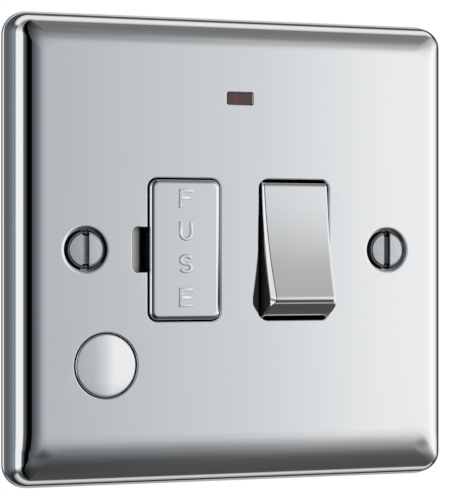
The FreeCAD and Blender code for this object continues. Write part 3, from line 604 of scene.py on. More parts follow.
def flank_section(size):
    """Points (in from the side, back from the front) across a sloped edge of that size."""
    way = Vector((-1.0, flank_fall)).normalized()
    front = Vector((size, 0.0))
    side = Vector((0.0, flank_fall * size))
    points = []
    for corner, before, after in ((front, Vector((-1.0, 0.0)), way), (side, way, Vector((0, 1)))):
        start = corner - before * flank_soft
        end = corner + after * flank_soft
        for i in range(flank_soft_steps + 1):
            t = i / flank_soft_steps
            points.append(start.lerp(corner, t).lerp(corner.lerp(end, t), t))
    return points


def flank_rows(bm, side):
    """Rows of points over the sloped edge on one side, wider towards the rocker's foot."""
    front = rocker_line(0.0)
    inner = rocker_line(flank_soft)
    rows = [[] for _ in flank_section(flank_top)]
    corner = front[rocker_steps]
    for j, (p, q) in enumerate(zip(front, inner)):
        back_way = (Vector(q) - Vector(p)) / flank_soft
        down = (1 - p[1] / end_r) / 2
        size = flank_top + (flank_foot - flank_top) * down ** flank_growth
        if min(j, len(front) - 1 - j) < rocker_steps:
            size = max(size - (corner[0] - p[0]) / flank_fall, flank_least)
            if size > flank_least:
                back_way = Vector((-1.0, 0.0))
        for row, (across, back) in zip(rows, flank_section(size)):
            spot = Vector(p) + back_way * back
            row.append((rocker_x + side * (rocker_w / 2 - across), pivot_y - spot.x, spot.y))
    return [add_ring(bm, row) for row in rows]


def rocker_ring(bm, x, inset):
    return add_ring(bm, [(rocker_x + x, pivot_y - u, w) for u, w in rocker_line(inset)])


def cheek_ring(bm, x, extra=0.0):
    """Outline of the black sides, deep under the front and close below the ends."""
    deep = rocker_line(cheek_inset + extra)
    shallow = rocker_line(cheek_end_inset + extra)
    last = len(deep) - 1
    front_start = rocker_steps + corner_steps
    limit = deep[front_start][0]
    points = []
    for j, (p, q) in enumerate(zip(deep, shallow)):
        u, w = p
        if min(j, last - j) < front_start:
            u, w = min(q[0], limit), q[1]
        points.append((rocker_x + x, pivot_y - u, w))
    return add_ring(bm, points)


def turn_to_off(bm):
    """Turns the rocker to off, with its top pressed in."""
    turn = Matrix.Rotation(math.radians(-half_travel), 4, "X")
    pivot = Vector((0, pivot_y, 0))
    for vert in bm.verts:
        vert.co = turn @ (vert.co - pivot) + pivot


def join_strips(bm, strips):
    """Quads between open rows of points."""
    for a, b in zip(strips, strips[1:]):
        for i in range(len(a) - 1):
            bm.faces.new((a[i], a[i + 1], b[i + 1], b[i]))


def rocker_cap(material):
    """Dished metal cap of the rocker with sloped side edges."""
    bm = bmesh.new()
    half_w = rocker_w / 2
    shell = [cheek_ring(bm, cheek_t - half_w), cheek_ring(bm, -half_w)]
    shell += reversed(flank_rows(bm, -1))
    shell += flank_rows(bm, 1)
    shell += [cheek_ring(bm, half_w), cheek_ring(bm, half_w - cheek_t)]
    hollow = [rocker_ring(bm, side * (half_w - rocker_t), rocker_t) for side in (-1, 1)]
    loops = []
    for rings in (shell, hollow):
        join_strips(bm, rings)
        bm.faces.new(rings[0])
        bm.faces.new(rings[-1])
        loops.append([r[0] for r in rings] + [r[-1] for r in reversed(rings)])
    fill_between(bm, loops)
    turn_to_off(bm)
    finish_mesh(bm, "rocker_cap", material, "rocker", ["rocker_cover"],
                40)


def rocker_cheeks(material):
    """Black moulded sides of the rocker below the metal's edge."""
    bm = bmesh.new()
    for side in (-1, 1):
        half_w = rocker_w / 2
        places = (half_w - cheek_t + cheek_gap, half_w - cheek_soft, half_w)
        insets = (cheek_gap, cheek_gap, cheek_gap + cheek_soft)
        rings = [cheek_ring(bm, side * x, extra) for x, extra in zip(places, insets)]
        join_rings(bm, rings)
        bm.faces.new(rings[0])
        bm.faces.new(rings[-1])
    turn_to_off(bm)
    finish_mesh(bm, "rocker_cheeks", material, "rocker", (), 40)


def fuse_cap(material):
    bm = bmesh.new()
    half_w = (fuse_high.x - fuse_low.x) / 2
    half_h = (fuse_high.z - fuse_low.z) / 2
    front = fuse_low.y

    def ring(inset, y, r):
        return add_ring(bm, rounded(fuse_x, 0, half_w - inset, half_h - inset, r, y, 12))

    rings = []
    for a in arc_steps(0, 90, 10):
        inset = cover_edge_r * (1 - math.sin(a))
        y = front + cover_edge_r * (1 - math.cos(a))
        rings.append(ring(inset, y, cover_corner_r - inset))
    rings.append(ring(0, front + cover_depth, cover_corner_r))
    inner_r = cover_corner_r - cover_t
    rings.append(ring(cover_t, front + cover_depth, inner_r))
    rings.append(ring(cover_t, front + cover_t, inner_r))
    join_rings(bm, rings)
    fill_between(bm, [rings[0]])
    fill_between(bm, [rings[-1]])
    finish_mesh(bm, "fuse_drawer_cap", material, "fuse_drawer", ["fuse_cover"],
                40)


def bar_letter(rows, stem):
    """Outline of a letter with a stem on the left and bars to the right."""
    half_w = letter_w / 2
    points = [(-half_w, -letter_h / 2)]
    for low, high, reach in rows:
        points += [(-half_w + stem, low), (-half_w + reach, low),
                   (-half_w + reach, high), (-half_w + stem, high)]
    points.append((-half_w, letter_h / 2))
    tidy = []
    for p in points:
        if not tidy or (Vector(p) - Vector(tidy[-1])).length > 1e-4:
            tidy.append(p)
    return tidy


def ribbon(centre_line, width):
    """Outline of a stroke of even width along a line."""
    left, right = [], []
    last = len(centre_line) - 1
    for i, p in enumerate(centre_line):
        a = Vector(centre_line[max(i - 1, 0)])
        b = Vector(centre_line[min(i + 1, last)])
        way = (b - a).normalized()
        across = Vector((-way.y, way.x)) * width / 2
        left.append(tuple(Vector(p) + across))
        right.append(tuple(Vector(p) - across))
    return left + right[::-1]


def letter_outlines():
    s = letter_stroke
    h = letter_h / 2
    w = letter_w / 2
    f = bar_letter([(-h, -h, s), (-0.25 * s, 0.7 * s, 0.8 * letter_w),
                    (h - s, h, letter_w)], s)
    e = bar_letter([(-h, -h + s, letter_w), (-s / 2, s / 2, 0.88 * letter_w),
                    (h - s, h, letter_w)], s)
    bowl = w - s / 2
    u = [(-bowl, h)]
    for a in arc_steps(180, 360, 16):
        u.append((bowl * math.cos(a), -h + w + bowl * math.sin(a)))
    u.append((bowl, h))
    lobe = (letter_h - s) / 4
    wide = w - s / 2
    curl = []
    for a in arc_steps(20, 270, 18):
        curl.append((wide * math.cos(a), lobe + lobe * math.sin(a)))
    for a in arc_steps(90, -160, 18):
        curl.append((wide * math.cos(a), -lobe + lobe * math.sin(a)))
    return [f, ribbon(u, s), ribbon(curl, s), e]


def drawn_in(outline, i, inset):
    """Corner i of an outline, moved inwards."""
    here = Vector(outline[i])
    before = (here - Vector(outline[i - 1])).normalized()
    after = (Vector(outline[(i + 1) % len(outline)]) - here).normalized()
    square = Vector((-before.y, before.x))
    way = Vector((-(before.y + after.y), before.x + after.x))
    if way.length < 1e-6:
        way = square.copy()
    way.normalize()
    return here + way * inset / max(abs(way.dot(square)), 0.5)


def fuse_letters(material):
    """Raised letters that say what the drawer holds, one below the other."""
    bm = bmesh.new()
    top = fuse_low.y - letter_proud
    levels = ((0.0, fuse_low.y + letter_root), (0.0, top + letter_bevel),
              (letter_bevel * 0.3, top + letter_bevel * 0.3), (letter_bevel, top))
    for outline, z in zip(letter_outlines(), letter_z):
        area = sum(a[0] * b[1] - b[0] * a[1] for a, b in zip(outline, outline[1:] + outline[:1]))
        if area < 0:
            outline.reverse()
        rings = []
        for inset, y in levels:
            spots = [drawn_in(outline, i, inset) for i in range(len(outline))]
            rings.append(add_ring(bm, [(fuse_x + p.x, y, z + p.y) for p in spots]))
        join_rings(bm, rings)
        fill_between(bm, [rings[0]])
        fill_between(bm, [rings[-1]])
    finish_mesh(bm, "fuse_letters", material, "fuse_drawer", (), 50)


def screw_form(name, head, slot, shank, pitch):
    """Slotted screw along +Y with a turned thread, as a mesh of its own."""
    head_line, top_y = head
    width, depth = slot
    bm = bmesh.new()
    lathe(bm, head_line, 0, 0, 64)
    bmesh.ops.recalc_face_normals(bm, faces=bm.faces)
    solid = in_scene(name, mesh_of(name, bm))
    bm = bmesh.new()
    reach = max(r for r, _ in head_line) + 1
    bmesh.ops.create_cube(bm, size=1.0)
    bmesh.ops.scale(bm, vec=(width, depth + 2, 2 * reach), verts=bm.verts)
    bmesh.ops.translate(bm, vec=(0, top_y + depth / 2 - 1, 0), verts=bm.verts)
    cutter = in_scene(name + "_slot", mesh_of(name + "_slot", bm))
    cut = solid.modifiers.new("slot", "BOOLEAN")
    cut.operation = "DIFFERENCE"
    cut.solver = "EXACT"
    cut.object = cutter
    graph = bpy.context.evaluated_depsgraph_get()
    cut_mesh = bpy.data.meshes.new_from_object(solid.evaluated_get(graph))
    bpy.data.objects.remove(solid)
    bpy.data.objects.remove(cutter)
    bm = bmesh.new()
    bm.from_mesh(cut_mesh)
    bpy.data.meshes.remove(cut_mesh)
    add_thread(bm, *shank, pitch)
    return bm


def add_thread(bm, outer, inner, start, end, pitch):
    """Helical ridge wound round a shank from start to end."""
    around = 24
    per_turn = 4
    rows = int((end - start) / pitch * per_turn)
    rings = []
    for j in range(rows + 1):
        y = start + (end - start) * j / rows
        ring = []
        fade = min(1.0, j / per_turn, (rows - j) / per_turn)
        for i in range(around):
            a = 2 * math.pi * i / around
            phase = (j / per_turn - i / around) % 1.0
            ridge = 1 - abs(2 * phase - 1)
            r = inner + (outer - inner) * ridge * fade
            ring.append((r * math.cos(a), y, r * math.sin(a)))
        rings.append(add_ring(bm, ring))
    join_rings(bm, rings)
    bm.faces.new(rings[0])
    bm.faces.new(rings[-1])


def repeat_tree():
    """Node tree that sets one screw on each point of a grid behind the plate."""
    tree = bpy.data.node_groups.new("screws_on_grid", "GeometryNodeTree")
    face = tree.interface
    face.new_socket("Geometry", in_out="OUTPUT", socket_type="NodeSocketGeometry")
    names = {}
    wanted = (("Screw", "NodeSocketObject"), ("Across", "NodeSocketFloat"),
              ("Up", "NodeSocketFloat"), ("Columns", "NodeSocketInt"),
              ("Rows", "NodeSocketInt"), ("Middle", "NodeSocketVector"),
              ("Finish", "NodeSocketMaterial"))
    for label, kind in wanted:
        names[label] = face.new_socket(label, in_out="INPUT", socket_type=kind).identifier
    nodes, links = tree.nodes, tree.links
    given = nodes.new("NodeGroupInput")
    result = nodes.new("NodeGroupOutput")
    grid = nodes.new("GeometryNodeMeshGrid")
    stand = nodes.new("GeometryNodeTransform")
    stand.inputs["Rotation"].default_value = (math.pi / 2, 0, 0)
    source = nodes.new("GeometryNodeObjectInfo")
    source.transform_space = "ORIGINAL"
    place = nodes.new("GeometryNodeInstanceOnPoints")
    real = nodes.new("GeometryNodeRealizeInstances")
    paint = nodes.new("GeometryNodeSetMaterial")
    links.new(given.outputs["Across"], grid.inputs["Size X"])
    links.new(given.outputs["Up"], grid.inputs["Size Y"])
    links.new(given.outputs["Columns"], grid.inputs["Vertices X"])
    links.new(given.outputs["Rows"], grid.inputs["Vertices Y"])
    links.new(grid.outputs["Mesh"], stand.inputs["Geometry"])
    links.new(given.outputs["Middle"], stand.inputs["Translation"])
    links.new(stand.outputs["Geometry"], place.inputs["Points"])
    links.new(given.outputs["Screw"], source.inputs["Object"])
    links.new(source.outputs["Geometry"], place.inputs["Instance"])
    links.new(place.outputs["Instances"], real.inputs["Geometry"])
    links.new(real.outputs["Geometry"], paint.inputs["Geometry"])
    links.new(given.outputs["Finish"], paint.inputs["Material"])
    links.new(paint.outputs["Geometry"], result.inputs["Geometry"])
    return tree, names


def set_of_screws(name, bm, tree, spread, middle, material, replaced):
    """One mesh with a screw at each place of the grid."""
    smooth_to_metres(bm, smooth_turn)
    one = in_scene(name + "_one", mesh_of(name + "_one", bm))
    holder = in_scene(name, bpy.data.meshes.new(name))
    group, names = tree
    across, up, columns, rows = spread
    modifier = holder.modifiers.new("grid", "NODES")
    modifier.node_group = group
    values = {"Screw": one, "Across": across * MM, "Up": up * MM, "Columns": columns,
              "Rows": rows, "Middle": tuple(c * MM for c in middle), "Finish": material}
    for label, value in values.items():
        modifier[names[label]] = value
    graph = bpy.context.evaluated_depsgraph_get()
    made = bpy.data.meshes.new_from_object(holder.evaluated_get(graph))
    holder.modifiers.clear()
    holder.data = made
    bpy.data.objects.remove(one)
    dress(holder, material, "root", replaced)


def raised_line():
    """Section of a raised countersunk head, from its crown to the shank's root."""
    ball = (head_disc_r ** 2 + head_crown ** 2) / (2 * head_crown)
    turn = math.degrees(math.asin(head_disc_r / ball))
    edge_y = face_y + head_sink
    top_y = edge_y - head_rise
    line = []
    for a in arc_steps(0, turn, 8):
        line.append((ball * math.sin(a), top_y + ball - ball * math.cos(a)))
    ledge_y = top_y + head_crown + head_step
    cone_y = edge_y + head_cone_drop
    line += [(head_disc_r + head_step, ledge_y), (head_ledge_r, ledge_y + ledge_fall),
             (head_r - head_rim_inset, ledge_y + head_rim_fall), (head_r, cone_y),
             (core_r, cone_y + head_r - core_r), (core_r, 0.0), (0.0, 0.0)]
    return line, top_y


def pan_line(r, thick, core):
    """Section of a flat cheese head on its seat, and the shank's root."""
    small = 0.3 * pan_edge
    return [(0.0, -thick), (r - pan_edge, -thick), (r - small, small - thick),
            (r, pan_edge - thick), (r, 0.0), (core, 0.0), (core, 1.0), (0.0, 1.0)], -thick


def rear_screws(name, node, tree, screw, columns, material):
    """Slotted screws that face the rear, in two rows over the box that the node fills."""
    low, high = node_box(node)
    (head_radius, thick), (outer, core), slot = screw
    length = high.y - low.y - thick
    bm = screw_form(name + "_form", pan_line(head_radius, thick, core), slot,
                    (outer, core, shank_start, length), rear_pitch)
    bmesh.ops.rotate(bm, cent=(0, 0, 0), matrix=Matrix.Rotation(math.pi, 3, "Z"), verts=bm.verts)
    middle = ((low.x + high.x) / 2, high.y - thick, (low.z + high.z) / 2)
    across = high.x - low.x - 2 * head_radius
    up = high.z - low.z - 2 * head_radius
    set_of_screws(name, bm, tree, (across, up, columns, 2), middle, material, [node])


def all_screws(bright, zinc):
    tree = repeat_tree()
    bm = screw_form("plate_screw", raised_line(), (slot_w, slot_d),
                    (shank_r, core_r, shank_start, shank_end), plate_pitch)
    set_of_screws("fixing_screws", bm, tree, (2 * screw_x, 0, 2, 1), (0, 0, 0), bright,
                  ["plate_screws"])
    rear_screws("clamp_screws", "terminal_screws", tree, clamp_screw, 3, zinc)
    rear_screws("back_cover_screws", "housing_screws", tree, cover_screw, 1, zinc)


def math_node(nodes, links, operation, *values):
    """Result of one sum, over outputs of other nodes or plain numbers."""
    node = nodes.new("ShaderNodeMath")
    node.operation = operation
    for socket, value in zip(node.inputs, values):
        if isinstance(value, (int, float)):
            socket.default_value = value
        else:
            links.new(value, socket)
    return node.outputs["Value"]


def flat_distance(nodes, links, a, b):
    """Distance of the flat point (a, b) from the middle."""
    flat = nodes.new("ShaderNodeCombineXYZ")
    links.new(a, flat.inputs["X"])
    links.new(b, flat.inputs["Y"])
    away = nodes.new("ShaderNodeVectorMath")
    away.operation = "LENGTH"
    links.new(flat.outputs["Vector"], away.inputs[0])
    return away.outputs["Value"]


class Finish:
    """A surface finish built from shader nodes that read Object coordinates."""

    def __init__(self, name, colour, metallic=0.0, roughness=0.4, **sockets):
        self.material = bpy.data.materials.new(name)
        self.material.use_nodes = True
        self.nodes = self.material.node_tree.nodes
        self.links = self.material.node_tree.links
        self.shader = self.nodes["Principled BSDF"]
        self.shader.inputs["Base Color"].default_value = colour
        self.shader.inputs["Metallic"].default_value = metallic
        self.shader.inputs["Roughness"].default_value = roughness
        for socket, value in sockets.items():
            self.shader.inputs[socket.replace("_", " ")].default_value = value
        self.place = self.nodes.new("ShaderNodeTexCoord").outputs["Object"]
        self.bumps = None

    def noise(self, size, detail=3.0, stretch=(1, 1, 1)):
        """Fine random pattern with grains about as large as size in millimetres."""
        mapping = self.nodes.new("ShaderNodeMapping")
        mapping.inputs["Scale"].default_value = stretch
        noise = self.nodes.new("ShaderNodeTexNoise")
        noise.inputs["Scale"].default_value = 1.0 / (size * MM)
        noise.inputs["Detail"].default_value = detail
        self.links.new(self.place, mapping.inputs["Vector"])
        self.links.new(mapping.outputs["Vector"], noise.inputs["Vector"])
        return noise.outputs["Fac"]

    def vary(self, socket, source, low, high):
        ramp = self.nodes.new("ShaderNodeMapRange")
        ramp.inputs["From Min"].default_value = 0.3
        ramp.inputs["From Max"].default_value = 0.7
        ramp.inputs["To Min"].default_value = low
        ramp.inputs["To Max"].default_value = high
        self.links.new(source, ramp.inputs["Value"])
        self.links.new(ramp.outputs["Result"], self.shader.inputs[socket])

    def tint(self, source, dark, light):
        mix = self.nodes.new("ShaderNodeMix")
        mix.data_type = "RGBA"
        mix.inputs["A"].default_value = dark
        mix.inputs["B"].default_value = light
        self.links.new(source, mix.inputs["Factor"])
        self.links.new(mix.outputs["Result"], self.shader.inputs["Base Color"])

    def bump(self, source, height):
        """Relief of that height in millimetres."""
        bump = self.nodes.new("ShaderNodeBump")
        bump.inputs["Strength"].default_value = 1.0
        bump.inputs["Distance"].default_value = height * MM
        self.links.new(source, bump.inputs["Height"])
        if self.bumps:
            self.links.new(self.bumps, bump.inputs["Normal"])
        self.bumps = bump.outputs["Normal"]
        self.links.new(self.bumps, self.shader.inputs["Normal"])

    def axes(self):
        """Outputs X, Y and Z of the place on the piece."""
        split = self.nodes.new("ShaderNodeSeparateXYZ")
        self.links.new(self.place, split.inputs["Vector"])
        return split.outputs

    def banded(self, source, low, high, ramp):
        """Colour from a ramp as the source goes from low to high, in millimetres."""
        spread = self.nodes.new("ShaderNodeMapRange")
        spread.inputs["From Min"].default_value = low * MM
        spread.inputs["From Max"].default_value = high * MM
        self.links.new(source, spread.inputs["Value"])
        self.links.new(spread.outputs["Result"], ramp.inputs["Fac"])
        self.links.new(ramp.outputs["Color"], self.shader.inputs["Base Color"])


def polished_metal():
    """Bright plated sheet, mirror smooth, with the faintest wave and wipe marks."""
    f = Finish("polished_plate_metal", (0.92, 0.925, 0.93, 1), 1.0, 0.03)
    f.vary("Roughness", f.noise(14, 4), 0.02, 0.045)
    f.bump(f.noise(30, 1), 0.012)
    return f.material


def turned_metal():
    """Plated screw head with painted shade in its slot and round its sunk edge, and fine turning
    rings about its own axis.
    """
    bright = (0.74, 0.745, 0.75, 1)
    # Colour of the painted shade in the slot and round the head's edge.
    shadow = (0.07, 0.07, 0.072, 1)
    f = Finish("turned_screw_metal", bright, 1.0, 0.22)
    axes = f.axes()
    graph = (f.nodes, f.links)
    aside = math_node(*graph, "ABSOLUTE", axes["X"])
    aside = math_node(*graph, "SUBTRACT", aside, screw_x * MM)
    away = flat_distance(*graph, aside, axes["Z"])
    wave = math_node(*graph, "MULTIPLY", away, 2 * math.pi / (turning_pitch * MM))
    ring = math_node(*graph, "SINE", wave)
    front = math_node(*graph, "LESS_THAN", axes["Y"], (face_y - 0.02) * MM)
    f.bump(math_node(*graph, "MULTIPLY", ring, front), 0.006)
    # Painted shade: by depth, the colour goes dark just behind the head's face, over its edge and
    # down the slot's walls, then bright again at the slot's floor.
    stops = ((0, bright), (0.12, shadow), (0.72, shadow), (0.84, bright))
    f.banded(axes["Y"], face_y - 0.1, face_y + slot_d - 0.2, ramp_from(f.nodes, stops, 0, 1))
    f.bump(f.noise(0.5, 2), 0.004)
    f.vary("Roughness", f.noise(1.2), 0.26, 0.36)
    return f.material


def dull_edge():
    """Unpolished edge of the sheet where it was cut and turned in."""
    f = Finish("cut_edge_metal", screen(178, 180, 176), 0.3, 0.5)
    f.vary("Roughness", f.noise(0.6, 3, (1, 1, 0.2)), 0.44, 0.6)
    f.bump(f.noise(0.25, 3, (1, 1, 0.1)), 0.01)
    return f.material


def black_plastic():
    f = Finish("black_moulding_plastic", screen(24, 24, 26), 0.0, 0.42)
    f.vary("Roughness", f.noise(2.5, 3), 0.36, 0.5)
    f.bump(f.noise(0.35, 2), 0.012)
    return f.material


def plain_finish(name, colour, metallic, low, high, grain, relief):
    f = Finish(name, colour, metallic, (low + high) / 2)
    f.vary("Roughness", f.noise(grain * 3), low, high)
    f.bump(f.noise(grain, 3), relief)
    return f.material


def neon_window():
    """Dark red-brown clear plastic that looks almost black unlit."""
    f = Finish("neon_window_plastic", screen(74, 44, 42), 0.0, 0.12, Coat_Weight=0.6,
               Coat_Roughness=0.05)
    f.tint(f.noise(1.6, 2, (1, 1, 0.4)), screen(52, 26, 26), screen(96, 58, 54))
    f.bump(f.noise(0.8, 1), 0.01)
    return f.material


def lamp_glass():
    f = Finish("lamp_glass", (0.95, 0.93, 0.9, 1), 0.0, 0.03, Transmission_Weight=1.0,
               IOR=1.47)
    f.bump(f.noise(1.5, 1), 0.01)
    return f.material


def resistor_paint():
    """Lacquer with coloured bands across the body."""
    cream = screen(198, 170, 120)
    f = Finish("resistor_lacquer", cream, 0.0, 0.25)
    bands = ((0, cream), (0.3, screen(180, 60, 40)), (0.38, cream), (0.45, screen(60, 70, 150)),
             (0.53, cream), (0.6, screen(210, 180, 60)), (0.68, cream))
    ramp = ramp_from(f.nodes, bands, 0, 1)
    ramp.color_ramp.interpolation = "CONSTANT"
    f.banded(f.axes()["X"], -3.5, 3.5, ramp)
    f.bump(f.noise(0.4, 2), 0.01)
    return f.material


# Slot, then name, colour, metal share, least and most roughness, grain and relief
plain_finishes = (
    ("wire", "tinned_wire", (0.72, 0.72, 0.7, 1), 1.0, 0.25, 0.4, 0.6, 0.006),
    ("white_plastic", "white_plunger_plastic", screen(226, 226, 218), 0.0, 0.35, 0.5, 0.5, 0.008),
    ("spring_steel", "spring_wire", (0.5, 0.5, 0.51, 1), 1.0, 0.2, 0.35, 0.4, 0.006),
    ("contact_metal", "rolled_strip", (0.72, 0.6, 0.42, 1), 1.0, 0.24, 0.4, 0.7, 0.006),
    ("brass", "machined_brass", (0.72, 0.53, 0.25, 1), 1.0, 0.2, 0.38, 0.5, 0.008),
    ("ceramic", "fuse_ceramic", screen(233, 230, 220), 0.0, 0.22, 0.35, 0.8, 0.008),
    ("fuse_metal", "nickel_cap", (0.74, 0.72, 0.67, 1), 1.0, 0.14, 0.26, 0.8, 0.006),
    ("zinc_steel", "zinc_screw", (0.66, 0.67, 0.66, 1), 1.0, 0.25, 0.42, 0.5, 0.01),
)


def make_finishes():
    made = {
        "polished_metal": polished_metal(),
        "screw_metal": turned_metal(),
        "black_moulding": black_plastic(),
        "lens": neon_window(),
        "lamp_glass": lamp_glass(),
        "resistor_body": resistor_paint(),
        "edge": dull_edge(),
    }
    for slot, *look in plain_finishes:
        made[slot] = plain_finish(*look)
    return made


def paint_parts(finishes):
    """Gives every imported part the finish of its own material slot."""
    for part in frame["record"]["subparts"]:
        node = cad[part["node"]]
        material = finishes[part["material_slot"]]
        node.data.materials.clear()
        node.data.materials.append(material)


def studio_floor():
    """Pale floor as far below the unit as a wall accessory is fixed above it."""
    bm = bmesh.new()
    grid = bmesh.ops.create_grid(bm, x_segments=12, y_segments=12, size=floor_reach)
    bmesh.ops.translate(bm, vec=(0, 0, floor_level), verts=grid["verts"])
    floor = in_scene("floor", mesh_of("floor", bm))
    material = bpy.data.materials.new("pale_floor")
    material.use_nodes = True
    nodes, links = material.node_tree.nodes, material.node_tree.links
    shader = nodes["Principled BSDF"]
    shader.inputs["Base Color"].default_value = (0.9, 0.9, 0.9, 1)
    shader.inputs["Roughness"].default_value = 0.9
    shader.inputs["Emission Color"].default_value = (1, 1, 1, 1)
    links.new(seen_directly(nodes, links, 0.3), shader.inputs["Emission Strength"])
    floor.data.materials.append(material)


def seen_directly(nodes, links, strength):
    """That strength for rays from the camera, in mirrors and through glass, else none."""
    path = nodes.new("ShaderNodeLightPath").outputs
    seen = math_node(nodes, links, "MAXIMUM", path["Is Camera Ray"], path["Is Glossy Ray"])
    seen = math_node(nodes, links, "MAXIMUM", seen, path["Is Transmission Ray"])
    return math_node(nodes, links, "MULTIPLY", seen, strength)


def studio_world():
    """White surroundings, a little weaker as a light than as a background."""
    world = bpy.data.worlds.new("studio")
    bpy.context.scene.world = world
    world.use_nodes = True
    nodes, links = world.node_tree.nodes, world.node_tree.links
    back = nodes["Background"]
    back.inputs["Color"].default_value = (1, 1, 1, 1)
    extra = seen_directly(nodes, links, 1 - world_light)
    links.new(math_node(nodes, links, "ADD", extra, world_light), back.inputs["Strength"])


# Shades of the cards round the unit, by angle from straight in front, left positive
card_turn = (
    (-150, 110), (-130, 100), (-122, 53), (-116, 53), (-108, 177), (-99, 228), (-79, 252),
    (-60, 238), (-26, 233), (-21, 208), (-14, 184), (-4, 175), (5.4, 156), (12, 132),
    (21, 108), (30, 88), (36.3, 72), (37.3, 2), (54, 2), (57, 60), (66, 100), (68.5, 150),
    (70.5, 238), (97, 238), (102, 100), (107.5, 158), (110.5, 131), (128, 112), (142, 96),
    (150, 94),
)
# Share of that shade by height angle above and below the level
card_rise = (
    (-100, 0.3), (-70, 0.31), (-48, 0.33), (-40, 0.37), (-34, 0.44), (-30, 0.54),
    (-26, 0.66), (-22, 0.8), (-18, 0.92), (-12, 0.99), (0, 1.0), (8, 1.0), (12, 0.985),
    (16, 0.965), (21, 0.91), (24, 0.865), (27.5, 0.815), (30, 0.775), (33, 0.75), (37, 0.735),
    (42, 0.665), (48, 0.57), (52, 0.53), (58, 0.505), (65, 0.475), (70, 0.46), (90, 0.46),
)
# Shades of the cards above and below, behind the plate's plane, by angle over the top
card_over = (
    (-180, 0), (-136, 0), (-130, 145), (-121, 170), (-113, 204), (-107, 220), (-101, 180),
    (-94, 100), (-92, 0), (92, 0), (95, 150), (100, 200), (108, 231), (122, 222),
    (128, 190), (132, 0), (180, 0),
)
# Those cards reach down to this height angle above and below the level
over_share = ((-90, 1), (-42, 1), (-32, 0), (32, 0), (42, 1), (90, 1))


def ramp_from(nodes, stops, low, high):
    """Ramp of colours from pairs of an angle or a place and a colour."""
    ramp = nodes.new("ShaderNodeValToRGB")
    elements = ramp.color_ramp.elements
    while len(elements) > 1:
        elements.remove(elements[-1])
    for i, (angle, value) in enumerate(stops):
        position = (angle - low) / (high - low)
        element = elements[0] if i == 0 else elements.new(position)
        element.position = position
        element.color = value
    return ramp


def angle_ramp(nodes, links, source, stops):
    low, high = stops[0][0], stops[-1][0]
    span = nodes.new("ShaderNodeMapRange")
    span.inputs["From Min"].default_value = math.radians(low)
    span.inputs["From Max"].default_value = math.radians(high)
    links.new(source, span.inputs["Value"])
    ramp = ramp_from(nodes, stops, low, high)
    links.new(span.outputs["Result"], ramp.inputs["Fac"])
    return ramp.outputs["Color"]


def grey(level):
    return (level, level, level, 1.0)


def blend(nodes, links, kind, a, b):
    mix = nodes.new("ShaderNodeMix")
    mix.data_type = "RGBA"
    mix.blend_type = kind
    mix.inputs["Factor"].default_value = 1.0
    links.new(a, mix.inputs["A"])
    links.new(b, mix.inputs["B"])
    return mix.outputs["Result"]


def tent_angles(nodes, links):
    """Angles of a place on the tent: round the unit, above the level and over the top."""
    split = nodes.new("ShaderNodeSeparateXYZ")
    links.new(nodes.new("ShaderNodeTexCoord").outputs["Object"], split.inputs["Vector"])
    x, y, z = split.outputs
    left = math_node(nodes, links, "MULTIPLY", x, -1)
    front = math_node(nodes, links, "MULTIPLY", y, -1)
    turn = math_node(nodes, links, "ARCTAN2", left, front)
    rise = math_node(nodes, links, "ARCTAN2", z, flat_distance(nodes, links, x, y))
    over = math_node(nodes, links, "ARCTAN2", z, front)
    return turn, rise, over


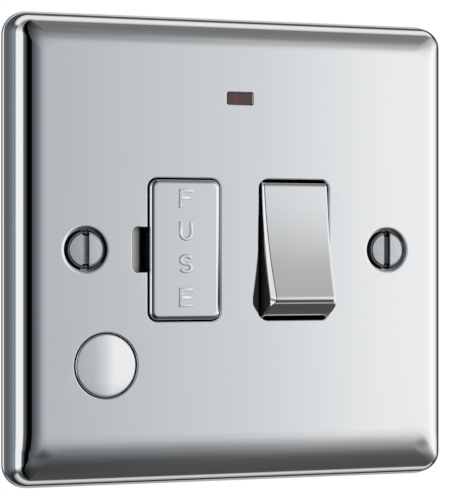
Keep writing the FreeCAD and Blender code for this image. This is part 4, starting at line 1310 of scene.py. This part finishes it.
def reflector_tent():
    """Curved cards round the unit that only mirrors see: white, grey and black bands."""
    bm = bmesh.new()
    bmesh.ops.create_uvsphere(bm, u_segments=64, v_segments=32, radius=tent_r)
    bmesh.ops.reverse_faces(bm, faces=bm.faces)
    tent = in_scene("reflector_tent", mesh_of("reflector_tent", bm))
    tent.visible_camera = False
    tent.visible_diffuse = False
    tent.visible_shadow = False
    tent.visible_transmission = False
    material = bpy.data.materials.new("reflector_cards")
    material.use_nodes = True
    nodes, links = material.node_tree.nodes, material.node_tree.links
    nodes.clear()
    turn, rise, over = tent_angles(nodes, links)
    around = tuple((angle, card_shade(shade)) for angle, shade in card_turn)
    across = angle_ramp(nodes, links, turn, around)
    upward = tuple((angle, grey(share ** 2.2)) for angle, share in card_rise)
    height = angle_ramp(nodes, links, rise, upward)
    rear = tuple((angle, grey(lit(shade) if shade else 0.0)) for angle, shade in card_over)
    behind = angle_ramp(nodes, links, over, rear)
    steep = angle_ramp(nodes, links, rise, tuple((a, grey(share)) for a, share in over_share))
    main = blend(nodes, links, "MULTIPLY", across, height)
    back = blend(nodes, links, "MULTIPLY", behind, steep)
    both = blend(nodes, links, "LIGHTEN", main, back)
    glow = nodes.new("ShaderNodeEmission")
    glow.inputs["Strength"].default_value = 1.1
    links.new(both, glow.inputs["Color"])
    result = nodes.new("ShaderNodeOutputMaterial")
    links.new(glow.outputs["Emission"], result.inputs["Surface"])
    tent.data.materials.append(material)


def soft_light(name, place, aim, size, power):
    data = bpy.data.lights.new(name, "AREA")
    data.size = size
    data.energy = power
    lamp = in_scene(name, data)
    lamp.location = place
    way = Vector(aim) - Vector(place)
    lamp.rotation_euler = way.to_track_quat("-Z", "Y").to_euler()
    lamp.visible_glossy = False


def studio_lights():
    soft_light("key_light", (-0.7, -0.9, 0.8), (0, 0, 0), 0.7, 5.0)
    soft_light("rear_light", (0.6, 0.9, 0.5), (0, 0, 0), 0.7, 4.0)


def photo_camera():
    data = bpy.data.cameras.new("photo_camera")
    data.sensor_width = sensor_mm
    data.lens = focal_px / frame_px * sensor_mm
    data.shift_x = (picture_px[0] / 2 - axis_px[0]) / frame_px
    data.shift_y = (axis_px[1] - picture_px[1] / 2) / frame_px
    data.clip_start = 0.01
    camera = in_scene("photo_camera", data)
    camera.location = Vector(camera_place) * MM
    camera.rotation_euler = (math.pi / 2, 0, math.radians(-camera_turn))
    bpy.context.scene.camera = camera


finishes = make_finishes()
paint_parts(finishes)
front_plate(finishes["polished_metal"])
notch_lip(finishes["edge"])
outlet_plug(finishes["polished_metal"])
outlet_plug_skirt(finishes["black_moulding"])
rocker_cap(finishes["polished_metal"])
rocker_cheeks(finishes["black_moulding"])
fuse_cap(finishes["polished_metal"])
fuse_letters(finishes["polished_metal"])
all_screws(finishes["screw_metal"], finishes["zinc_steel"])
studio_floor()
studio_world()
reflector_tent()
studio_lights()
photo_camera()
bpy.context.scene.view_settings.view_transform = "Standard"
